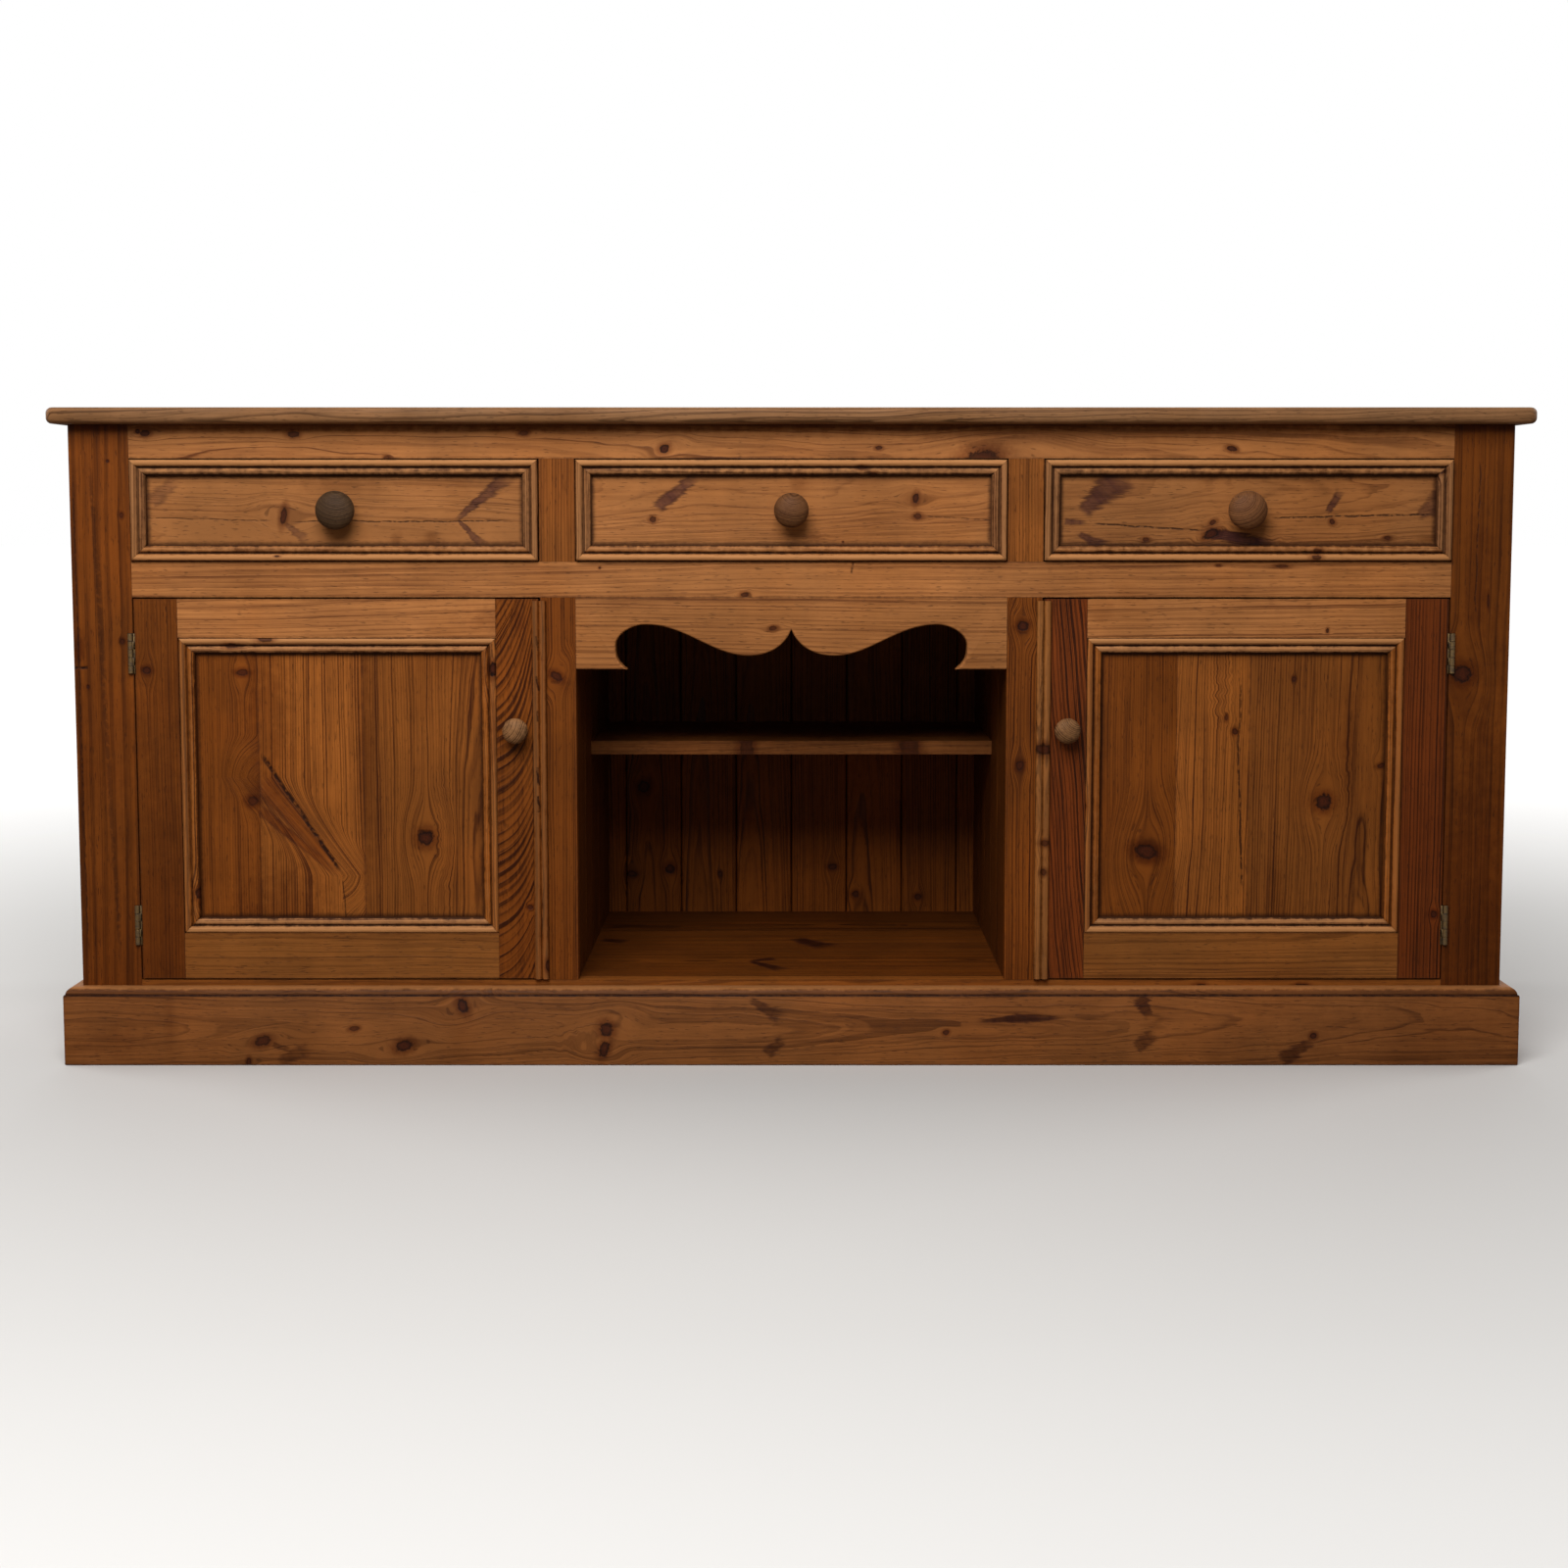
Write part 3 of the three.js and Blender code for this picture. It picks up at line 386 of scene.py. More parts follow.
        Knot(740, 376, 5, 3, 20, 0.8, 0.5),
        DarkPatch(610, 215, 16, 60, 0.4),
        DarkPatch(700, 400, 10, 90, 0.4),
    ),
    "back_boarding": (
        Knot(-179, 169, 7, 7, 0, 0.95),
        Knot(-235, 161, 7, 4, 0, 0.9),
        Knot(61, 171.5, 6, 4, 0, 0.8),
        Knot(95, 131, 5, 5, 0, 0.8),
        Knot(187, 127, 5, 4, 0, 0.8),
        Knot(-217, 291, 9, 8, 0, 0.9),
        Knot(-105, 161, 3, 4, 0, 0.7),
    ),
    "bottom_board": (
        Spike(-54, -110, -20, -92, 5, 8, 1.0),
        Spike(-54, -110, -11, -164, 5, 11, 1.0),
        Spike(4, 42, 52, -20, 10, 20, 1.0),
        Spike(-262, 34, -226, 18, 9, 14, 0.9),
        Knot(161, 137, 4, 4, 0, 0.8),
    ),
    "centre_shelf": (
        Knot(-60, -26, 9, 5, 0, 0.6),
        Knot(158, -26, 12, 5, 0, 0.6),
        # Painted shade: the shelf's top darker towards the back of the bay.
        DarkPatch(0, 140, 700, 150, 0.9),
    ),
    "left_end_panel": (
        Knot(-130, 590, 9, 12, 8, 0.85, 1.6),
        Knot(74, 330, 8, 10, 0, 0.85, 1.4),
        Knot(188, 640, 5, 7, 0, 0.8),
        Knot(-70, 210, 5, 6, 0, 0.8),
    ),
    "right_end_panel": (
        Knot(110, 540, 9, 12, -8, 0.85, 1.6),
        Knot(-92, 400, 7, 9, 0, 0.85, 1.4),
        Knot(-150, 680, 5, 6, 0, 0.8),
        Knot(30, 240, 6, 8, 0, 0.8),
    ),
    "top_board_1": (
        Knot(-655, -160, 11, 8, 10, 0.85, 1.6),
        Knot(610, -120, 9, 7, -12, 0.85, 1.4),
        DarkPatch(-120, -130, 60, 46, 0.4),
    ),
    "top_board_2": (
        Knot(-300, -6, 12, 8, 0, 0.85, 1.6),
        Knot(395, 44, 8, 6, 20, 0.8, 1.2),
        Spike(60, -30, 108, 14, 4, 9, 0.7, 0.3),
        DarkPatch(560, 10, 44, 44, 0.4),
    ),
    "top_board_3": (
        Knot(-560, 190, 9, 7, 0, 0.85, 1.4),
        Knot(180, 150, 10, 8, -8, 0.85, 1.6),
        Knot(720, 205, 6, 5, 0, 0.8),
    ),
}


class DresserSizes(bpy.types.PropertyGroup):
    """Sizes of what is finished by hand, in metres."""

    arris: FloatProperty(
        name="Arris", description="How far the boards' edges are rubbed down", default=0.0009, unit="LENGTH"
    )
    seam: FloatProperty(
        name="Seam", description="Gap between boards that lie side by side", default=0.0003, unit="LENGTH"
    )
    erosion: FloatProperty(
        name="Erosion", description="How deep the mouldings are worn", default=0.0007, unit="LENGTH"
    )
    rim: FloatProperty(
        name="Rim", description="Rounding of the apron's cut edge", default=0.0022, unit="LENGTH"
    )
    grain_relief: FloatProperty(
        name="Grain relief", description="How far the late wood stands up", default=0.0003, unit="LENGTH"
    )
    screw: FloatProperty(
        name="Screw head", description="Diameter of the hinge screws' heads", default=0.0064, unit="LENGTH"
    )
    knob_steps: IntProperty(name="Knob steps", description="Steps round a turned knob", default=72, min=24)


class DresserColours(bpy.types.PropertyGroup):
    """Colours of the pine, early wood and late wood."""


PINES = {
    "honey": (paint(174, 113, 63), paint(98, 54, 27)),
    "amber": (paint(170, 104, 47), paint(88, 46, 16)),
    "hazel": (paint(137, 78, 29), paint(62, 28, 9)),
    "brown": (paint(137, 73, 22), paint(60, 26, 7)),
    "red": (paint(118, 56, 19), paint(46, 19, 6)),
    "orange": (paint(148, 86, 35), paint(78, 40, 14)),
    "tan": (paint(136, 82, 40), paint(70, 37, 16)),
    "pale": (paint(174, 120, 76), paint(92, 52, 28)),
    "raw": (paint(184, 144, 98), paint(144, 100, 60)),
    "olive": (paint(92, 68, 46), paint(58, 40, 26)),
    "turned": (paint(118, 78, 48), paint(78, 48, 28)),
    "grey": (paint(138, 98, 64), paint(92, 62, 38)),
    "handled": (paint(152, 108, 70), paint(60, 38, 22)),
}
WOODS = ("early", "late")
for kind_name, woods in PINES.items():
    for wood_name, wood_colour in zip(WOODS, woods):
        DresserColours.__annotations__[kind_name + "_" + wood_name] = FloatVectorProperty(
            name=(kind_name + " pine, " + wood_name + " wood").capitalize(),
            description="Colour of the " + wood_name + " wood in the " + kind_name + " boards",
            default=wood_colour,
            subtype="COLOR",
            min=0,
            max=1,
        )


class StageSettings(bpy.types.PropertyGroup):
    """The floor and the light round the dresser."""

    floor_colour: FloatVectorProperty(
        name="Floor", description="Colour of the floor", default=paint(208, 206, 203), subtype="COLOR"
    )
    floor_bounce: FloatVectorProperty(
        name="Floor's light",
        description="Colour of the light that the floor throws back, as a grey oak floor would",
        default=paint(112, 102, 92),
        subtype="COLOR",
    )
    key_power: FloatProperty(
        name="Key light", description="Power of the large lamp above the front", default=82, unit="POWER"
    )
    sky_strength: FloatProperty(name="Sky", description="Light from all round", default=0.1)


class Field:
    """A shader socket for Python expressions: each operator adds the node that works it out."""

    def __init__(self, shader, socket):
        self.shader = shader
        self.socket = socket

    def __add__(self, other):
        return self.shader.maths("ADD", self, other)

    def __radd__(self, other):
        return self.shader.maths("ADD", other, self)

    def __sub__(self, other):
        return self.shader.maths("SUBTRACT", self, other)

    def __rsub__(self, other):
        return self.shader.maths("SUBTRACT", other, self)

    def __mul__(self, other):
        return self.shader.maths("MULTIPLY", self, other)

    def __rmul__(self, other):
        return self.shader.maths("MULTIPLY", other, self)

    def __truediv__(self, other):
        return self.shader.maths("DIVIDE", self, other)

    def __rtruediv__(self, other):
        return self.shader.maths("DIVIDE", other, self)

    def __pow__(self, other):
        return self.shader.maths("POWER", self, other)


class Shader:
    """A material, or a world, whose pattern is built from expressions."""

    def __init__(self, name, family="materials"):
        self.material = getattr(bpy.data, family).new(name)
        self.material.use_nodes = True
        self.tree = self.material.node_tree
        self.surface = self.tree.nodes.get("Principled BSDF")

    def feed(self, socket, value):
        if isinstance(value, Field):
            self.tree.links.new(value.socket, socket)
        elif isinstance(value, tuple) or socket.default_value != value:
            socket.default_value = value

    def node(self, kind, settings=None, sockets=None, out=0):
        """A node of one type: first its settings, then the values or links of its sockets."""
        made = self.tree.nodes.new("ShaderNode" + kind)
        for key, value in (settings or {}).items():
            if key == "stops":
                self.set_stops(made.color_ramp.elements, value)
            elif getattr(made, key) != value:
                setattr(made, key, value)
        for key, value in (sockets or {}).items():
            self.feed(made.inputs[key], value)
        return Field(self, made.outputs[out])

    @staticmethod
    def set_stops(elements, stops):
        while len(elements) < len(stops):
            elements.new(1)
        for element, (place, level) in zip(elements, stops):
            element.position = place
            element.color = (level, level, level, 1)

    def maths(self, operation, *values, clamp=False):
        fields = [value for value in values if isinstance(value, Field)]
        if any(field.socket.type == "VECTOR" for field in fields):
            return self.node("VectorMath", {"operation": operation}, dict(enumerate(values)))
        return self.node("Math", {"operation": operation, "use_clamp": clamp}, dict(enumerate(values)))

    def step(self, value, low, high, to_low=0.0, to_high=1.0):
        """A smooth step from one level to another while the value goes from low to high."""
        sockets = {"Value": value, "From Min": low, "From Max": high, "To Min": to_low, "To Max": to_high}
        return self.node("MapRange", {"interpolation_type": "SMOOTHSTEP"}, sockets)

    def mix(self, factor, first, second, blend="MIX"):
        return self.node("Mix", {"data_type": "RGBA", "blend_type": blend}, {0: factor, 6: first, 7: second}, 2)

    def vector(self, x, y, z):
        return self.node("CombineXYZ", None, {0: x, 1: y, 2: z})

    def noise(self, place, scale, detail=2.0, roughness=0.5, out="Fac"):
        sockets = {"Vector": place, "Scale": scale, "Detail": detail, "Roughness": roughness}
        return self.node("TexNoise", None, sockets, out)

    def axes(self, vector):
        """The three parts of a vector, from one node."""
        first = self.node("SeparateXYZ", None, {0: vector})
        return [Field(self, socket) for socket in first.socket.node.outputs]

    def chance(self, number):
        """The same random level, 0 to 1, for each whole number."""
        return self.node("TexWhiteNoise", {"noise_dimensions": "1D"}, {"W": number}, "Value")

    def finish(self, colour, roughness, height, relief):
        """Feeds the pattern into the surface and returns the material."""
        self.feed(self.surface.inputs["Base Color"], colour)
        self.feed(self.surface.inputs["Roughness"], roughness)
        bump = self.node("Bump", None, {"Height": height, "Distance": relief, "Strength": 1.0})
        self.feed(self.surface.inputs["Normal"], bump)
        return self.material


AXES = "XYZ"
# For a face across each axis: the axes that run right, up and into the board
FACE_AXES = {"X": (1, 2, 0), "Y": (0, 2, 1), "Z": (0, 1, 2)}

WAX_SHEEN = 0.08
KNOT_BROWN = paint(42, 19, 10)
KNOT_RED = paint(72, 31, 15)
KNOT_BARK = paint(16, 6, 4)
SPIKE_EDGE = paint(48, 20, 13)
CRACK_DARK = paint(34, 15, 8)
# Below: the dark of dirt and painted shade in hollows and beside mouldings, and the light of wear and a painted
# highlight on crests
DIRT_AND_SHADE = paint(40, 17, 7)
RUBBED_AND_HIGHLIGHT = paint(184, 126, 76)
EDGE_BROWN = paint(80, 42, 20)
# What a dark patch (a stain, and at the marks noted below, painted shade), the ring of resin round a knot and long
# light leave of the wood's colour
PATCH_LEAVES = (0.42, 0.31, 0.22, 1.0)
HALO_LEAVES = (0.36, 0.22, 0.16, 1.0)
WARM_LEAVES = (1.0, 0.84, 0.6, 1.0)
EDGE_REACH = 0.004


def with_alpha(colour, tone=1.0):
    return (*(min(1, channel * tone) for channel in colour), 1)


class Board:
    """Works out the pine of one board, from where it lies, how it was cut and what marks it."""

    # How strongly bands of growth, fibres and grime show
    BANDS = 1.3
    FIBRES = 1.2
    GRIME = (0.83, 1.13)
    # Slopes of the rings of a swept board at its left edge, low down and high up, and at its right edge
    SWEEP = (0.55, 1.6, 3.6)
    SWEEP_TURNS = (0.38, 0.56)
    # Late wood through a year: the ring darkens slowly and ends at once
    SEASONS = ((0.0, 0.3), (0.08, 0.0), (0.42, 0.04), (0.66, 0.55), (0.8, 1.0), (0.95, 0.95), (1.0, 0.3))
    # How slowly the grain closes again past a knot
    CLOSING = 1.8
    # A mark's size in depth, so great that depth doesn't count
    FAR = 1000.0

    def __init__(
        self, name, lo, hi, grain, face, cut, marks=(), pitch=0.0, start=0.0,
        proud=None, sunk=None, quirk=None, swept=False, edged=True,
    ):
        self.chance = random.Random(name)
        self.seed = self.chance.uniform(-20, 20)
        self.shader = Shader(name)
        self.lo, self.hi = Vector(lo), Vector(hi)
        middle = (self.lo + self.hi) / 2
        self.cut = cut
        self.marks = marks
        self.proud = proud
        self.sunk = sunk
        self.swept = swept
        self.edges = edged
        self.quirk = quirk
        self.face_axes = FACE_AXES[face]
        right, up, depth = self.face_axes
        self.place = self.shader.node("TexCoord", None, None, "Object")
        self.parts = self.shader.axes(self.place)
        self.face_parts = [self.parts[right], self.parts[up]]
        self.depth = self.parts[depth] - middle[depth]
        along = AXES.index(grain)
        if along == depth:
            self.along, self.across = self.depth, self.parts[right] - middle[right]
            self.depth = self.parts[up] - middle[up]
            self.sideways = 0
        else:
            self.sideways = 1 if along == right else 0
            other = (right, up)[self.sideways]
            self.along = self.parts[along] - middle[along]
            self.across = self.parts[other] - middle[other]
        self.seam = None
        if pitch:
            self.split(pitch, start)

    def split(self, pitch, start):
        """Boards side by side: each gets its own place in the tree, and its own tone."""
        shader = self.shader
        counted = (self.across - start) / pitch
        self.index = shader.maths("FLOOR", counted)
        within = counted - self.index
        self.seam = shader.maths("PINGPONG", within, 0.5) * pitch
        self.across = (within - 0.5) * pitch + (shader.chance(self.index) - 0.5) * pitch
        self.along = self.along + shader.chance(self.index + 17.3) * 3.0
        self.depth = self.depth + (shader.chance(self.index + 5.7) - 0.3) * 0.05

    def stretched(self, along, across, detail=2.0, roughness=0.5, out="Fac"):
        """Noise drawn out along the grain: how many to a metre along it and across it."""
        place = self.shader.node(
            "VectorMath", {"operation": "MULTIPLY_ADD"}, {0: self.flow, 1: (along, across, across), 2: self.seeds}
        )
        return self.shader.noise(place, 1.0, detail, roughness, out)

    def marks_of(self, kind):
        return [mark for mark in self.marks if isinstance(mark, kind)]

    def seen_from(self, right, up, long, wide, turn=0.0):
        """Places measured from a mark's middle, along its own axes and in its own sizes."""
        middle, size, turns = [0.0] * 3, [self.FAR] * 3, [0.0] * 3
        for axis, place, reach in zip(self.face_axes, (right, up), (long, wide)):
            middle[axis] = place * MM
            size[axis] = reach * MM
        depth = self.face_axes[2]
        turns[depth] = -turn if AXES[depth] == "Y" else turn
        sockets = {"Vector": self.place, "Location": tuple(middle), "Rotation": tuple(turns), "Scale": tuple(size)}
        return self.shader.node("Mapping", {"vector_type": "TEXTURE"}, sockets)

    def out_from(self, mark, turn=0.0):
        """How far out from the middle of a round mark a point lies, as a share of its size."""
        place = self.seen_from(mark.right, mark.up, mark.long, mark.wide, math.radians(turn))
        return self.shader.node("VectorMath", {"operation": "LENGTH"}, {0: place}, "Value")

    def beside(self, mark):
        """A long mark's own places, how far along it a point lies, 0 to 1, and how far to its side, in metres."""
        reach = Vector((mark.far_right - mark.right, mark.far_up - mark.up))
        turn = math.atan2(reach.y, reach.x)
        place = self.seen_from(mark.right, mark.up, reach.length, 1 / MM, turn)
        parts = self.shader.axes(place)
        right, up, _ = self.face_axes
        return place, parts[right], parts[up]

    def bend(self):
        """The place across the grain, bent round knots and branches and curled where the wood grew wild."""
        shader = self.shader
        across = self.across
        self.outs = {knot: self.out_from(knot, knot.turn) for knot in self.marks_of(Knot)}
        for knot in self.outs:
            if knot.bend:
                middle = (knot.right, knot.up)[self.sideways] * MM
                reach = max(knot.long, knot.wide) * self.CLOSING
                around = knot._replace(long=reach) if self.sideways else knot._replace(wide=reach)
                out = self.out_from(around, knot.turn)
                pull = shader.step(out, 1.0 + 2.4 * math.sqrt(knot.bend), 0.6)
                across = across - (self.face_parts[self.sideways] - middle) * pull
        for spike in self.marks_of(Spike):
            if spike.bend:
                across = across - self.parted(spike) * spike.bend
        for curl in self.marks_of(Curl):
            wave = shader.vector(self.along * 60 + self.seed, self.across * 30, 0.0)
            wave = shader.noise(wave, 1.0, 2) - 0.5
            across = across + wave * shader.step(self.out_from(curl), 1.3, 0.3) * (curl.reach * MM * 3)
        return across

    def parted(self, spike):
        """How far a branch pushes the grain aside: it flows round it as water round a plank."""
        shader = self.shader
        ends = ((spike.right * MM, spike.up * MM), (spike.far_right * MM, spike.far_up * MM))
        start, end = (place[1 - self.sideways] for place in ends)
        low, high = (place[self.sideways] for place in ends)
        share = (self.face_parts[1 - self.sideways] - start) / (end - start)
        held = shader.maths("ADD", share, 0.0, clamp=True)
        line = held * (high - low) + low
        gap = self.face_parts[self.sideways] - line
        beyond = shader.maths("GREATER_THAN", gap, 0.0)
        pushed = line - (beyond * (min(low, high) - max(low, high)) + max(low, high))
        gap = shader.maths("ABSOLUTE", gap)
        share = shader.maths("ABSOLUTE", share - 0.5)
        return pushed * shader.step(gap, 0.055, 0.0) * shader.step(share, 0.95, 0.45)

    def years(self):
        """How many years out from the heart of the tree a point lies."""
        shader = self.shader
        cut = self.cut
        wander = cut.wander * MM * 3
        strays = shader.axes(self.stretched(2.2, 9, 2.5, 0.55, "Color"))
        shiver = (self.stretched(14, 60) - 0.5) * (wander * 0.12)
        if self.swept:
            width = self.hi.x - self.lo.x
            out = self.grain + width / 2
            low, high, end = self.SWEEP
            slope = shader.step(self.parts[2], *self.SWEEP_TURNS, low, high)
            rise = out * slope + out * out * out * ((end - low) / (3 * width * width))
            return (self.along - rise + strays[0] * wander + shiver) / (cut.ring * MM)
        pith = cut.pith or (self.chance.uniform(-50, 50), self.chance.uniform(30, 80))
        lean = cut.lean or (self.chance.uniform(-0.01, 0.01), self.chance.uniform(-0.02, 0.02))
        across = self.grain - self.along * lean[0] + (strays[0] * wander - (pith[0] * MM + wander / 2))
        deep = self.depth - self.along * lean[1] + (strays[1] * wander - (pith[1] * MM + wander / 2))
        return (shader.maths("SQRT", across * across + deep * deep) + shiver) / (cut.ring * MM)

    def rings(self):
        """Late wood, 0 to 1: years differ in width and in strength."""
        shader = self.shader
        years = self.years()
        uneven = shader.node("TexNoise", {"noise_dimensions": "1D"}, {"W": years * 0.37 + self.seed}, "Fac")
        years = years + uneven * (1.0 if self.swept else 1.5)
        season = shader.maths("FRACT", years)
        late = shader.node("ValToRGB", {"stops": self.SEASONS}, {"Fac": season})
        return late * (shader.chance(shader.maths("FLOOR", years)) * 0.6 + 0.4)

    def wood(self):
        """Colour and height of the clear wood."""
        shader = self.shader
        cut = self.cut
        self.grain = self.bend()
        self.flow = shader.vector(self.along, self.grain, self.depth)
        self.seeds = (self.seed, self.seed / 3, self.seed / 7)
        late = self.rings()
        bands = self.stretched(1.4, 36, 3, 0.6) - 0.5
        self.fibres = self.stretched(9, 250, 4, 0.62)
        ticks = shader.step(self.stretched(80, 620, 1), 0.63, 0.73)
        strength = late * cut.show + bands * self.BANDS + (self.fibres - 0.5) * self.FIBRES
        strength = shader.maths("ADD", strength, 0.08, clamp=True)
        colours = bpy.context.scene.dresser_colours
        early_colour = with_alpha(getattr(colours, cut.kind + "_early"), cut.tone)
        late_colour = with_alpha(getattr(colours, cut.kind + "_late"), cut.tone)
        colour = shader.mix(strength, early_colour, late_colour)
        colour = shader.mix(ticks * 0.45, colour, with_alpha(KNOT_BROWN))
        grime = shader.noise(self.place, 11.0, 4, 0.62)
        level = shader.step(grime + bands * 0.6, 0.25, 0.75, *self.GRIME)
        if self.seam:
            level = level * (shader.chance(self.index + 3.1) * 0.4 + 0.8)
        colour = shader.node("HueSaturation", None, {"Value": level, "Color": colour})
        warm = shader.step(shader.noise(self.place, 5.0, 3, 0.6), 0.42, 0.68)
        colour = shader.mix(warm * 0.35, colour, WARM_LEAVES, "MULTIPLY")
        self.late = late
        return colour, late * 0.6 + self.fibres * 0.35 - ticks * 0.4

    def most(self, levels):
        """The greatest of several levels."""
        greatest = levels[0]
        for level in levels[1:]:
            greatest = self.shader.maths("MAXIMUM", greatest, level)
        return greatest

    def darkened_patches(self, colour):
        shader = self.shader
        ruffle = (shader.noise(self.place, 70, 4, 0.65) - 0.5) * 1.6
        levels = [
            shader.step(self.out_from(stain) + ruffle, 1.3, 0.1, 0.0, stain.dark) for stain in self.marks_of(DarkPatch)
        ]
        return shader.mix(self.most(levels), colour, PATCH_LEAVES, "MULTIPLY")

    def spiked(self, colour, height):
        """Branches cut along their length: plum brown, darker at their edges, with fibres of their own."""
        shader = self.shader
        inner, edges = [], []
        ruffle = (self.stretched(22, 240, 4, 0.7) - 0.5) * 2.2
        for spike in self.marks_of(Spike):
            place, along, side = self.beside(spike)
            half = along * ((spike.end - spike.start) * MM) + spike.start * MM
            out = shader.maths("ABSOLUTE", side) / half + ruffle
            along = along + ruffle * 0.14
            ends = shader.step(along, -0.03, 0.1) * shader.step(along, 1.1, 0.72) * spike.dark
            fibres = shader.noise(place, 4.0, 3, 0.6)
            inner.append(shader.step(out, 1.25, 0.6) * ends * (fibres * 0.9 + 0.5))
            edges.append(shader.step(shader.maths("ABSOLUTE", out - 0.85), 0.5, 0.05) * ends * fibres)
        inside = shader.maths("ADD", self.most(inner), 0.0, clamp=True)
        colour = shader.mix(inside, colour, self.marks_of(Spike)[0].leaves, "MULTIPLY")
        edge = self.most(edges)
        return shader.mix(edge * 0.9, colour, with_alpha(SPIKE_EDGE)), height - inside * 0.3

    def cracked(self, colour, height):
        shader = self.shader
        wobble = (shader.noise(self.place, 45, 3, 0.6) - 0.5) * 0.005
        broken = shader.step(shader.noise(self.place, 160, 2), 0.36, 0.52, 0.35, 1.0)
        levels = []
        for crack in self.marks_of(Crack):
            _, along, side = self.beside(crack)
            half = crack.width * MM
            line = shader.step(shader.maths("ABSOLUTE", side + wobble), half * 1.2, half * 0.3, 0.0, crack.dark)
            ends = shader.step(shader.maths("ABSOLUTE", along - 0.5), 0.5, 0.42)
            levels.append(line * ends)
        split = self.most(levels) * broken
        return shader.mix(split, colour, with_alpha(CRACK_DARK)), height - split * 1.5

    def knotted(self, colour, height):
        """Knots: resin has darkened the wood round them, and bark rings them."""
        shader = self.shader
        ruffle = (shader.noise(self.place, 170, 4, 0.65) - 0.5) * 1.2
        levels = [
            shader.step(out + ruffle, 1.15, 0.8, 0.0, knot.dark) for knot, out in self.outs.items()
        ]
        marked = self.most(levels)
        nearest = None
        for out in self.outs.values():
            nearest = shader.maths("MINIMUM", nearest, out) if nearest else out
        nearest = nearest + ruffle
        halo = shader.step(nearest, 2.4, 0.9, 0.0, 0.7)
        colour = shader.mix(halo, colour, HALO_LEAVES, "MULTIPLY")
        rings = shader.maths("SINE", nearest * 17) * 0.5 + 0.5
        core = shader.mix(rings * 0.5 + self.fibres * 0.4, with_alpha(KNOT_RED), with_alpha(KNOT_BROWN))
        core = shader.mix(shader.step(nearest, 0.4, 0.85, 0.0, 0.9), core, with_alpha(KNOT_BARK))
        return shader.mix(marked, colour, core), height - marked * 0.6

    def soiled_and_shaded(self, colour):
        """Wear and dirt with painted light: on a moulding, crests lighter (wear and a painted highlight) and hollows
        darker (dirt and painted shade); on a plinth's mould, painted shade below its crest, a painted highlight along
        it and a dark line of dirt and painted shadow at its quirk; on a field, dirt and painted shade where it meets
        the moulding.
        """
        shader = self.shader
        uneven = shader.noise(self.place, 120, 3, 0.65)
        if self.proud:
            low, high, wear, dirt = self.proud
            crest = (self.parts[1] - low) / (high - low)
            # Crests lighter: wear and a painted highlight
            rubbed = shader.step(crest + (uneven - 0.5) * 0.5, 0.66, 0.92, 0.0, wear)
            colour = shader.mix(rubbed, colour, with_alpha(RUBBED_AND_HIGHLIGHT))
            # Hollows darker: dirt and painted shade
            dirty_and_shaded = shader.step(crest + (uneven - 0.5) * 0.5, 0.7, 0.52, 0.0, dirt)
            return shader.mix(dirty_and_shaded, colour, with_alpha(DIRT_AND_SHADE))
        if self.quirk:
            above = self.parts[2] - self.quirk
            rough = above + (uneven - 0.5) * 0.005
            # Painted shade: the plinth's mould darker below its crest
            darker = shader.step(above, 0.0, 0.001) * shader.step(rough, 0.0075, 0.005, 0.0, 0.45)
            colour = shader.mix(darker, colour, with_alpha(DIRT_AND_SHADE))
            # Painted highlight: a light line along the mould's crest
            rubbed = shader.step(rough, 0.0055, 0.0085, 0.0, 0.4)
            colour = shader.mix(rubbed, colour, with_alpha(RUBBED_AND_HIGHLIGHT))
            # A dark line at the quirk under the mould: dirt and painted shadow
            line = shader.step(shader.maths("ABSOLUTE", above), 0.0022, 0.0006)
            return shader.mix(line * (uneven + 0.4), colour, with_alpha(DIRT_AND_SHADE))
        low, high = self.sunk
        nearest = None
        for axis in (0, 2):
            gap = shader.maths("MINIMUM", self.parts[axis] - low[axis], high[axis] - self.parts[axis])
            nearest = shader.maths("MINIMUM", nearest, gap) if nearest else gap
        # The field darker next to its moulding: dirt and painted shade
        dirty_and_shaded = shader.step(nearest + (uneven - 0.5) * 0.004, 0.007, 0.0, 0.0, 0.8)
        dirty_and_shaded = dirty_and_shaded * shader.step(nearest, -MOULDING_WIDTH, -MOULDING_WIDTH / 2)
        return shader.mix(dirty_and_shaded * shader.step(self.depth, 0.001, -0.001), colour, with_alpha(DIRT_AND_SHADE))

    def edged(self, colour):
        """Wear and dirt where two faces of the board meet."""
        shader = self.shader
        total = 0.0
        for part, low, high in zip(self.parts, self.lo, self.hi):
            gap = shader.maths("MINIMUM", part - low, high - part)
            total = shader.step(gap, EDGE_REACH, 0.0) + total
        rubbed = shader.step(shader.noise(self.place, 90, 3, 0.6), 0.35, 0.7, 0.1, 0.55)
        return shader.mix(shader.step(total, 1.1, 2.0) * rubbed, colour, with_alpha(EDGE_BROWN))

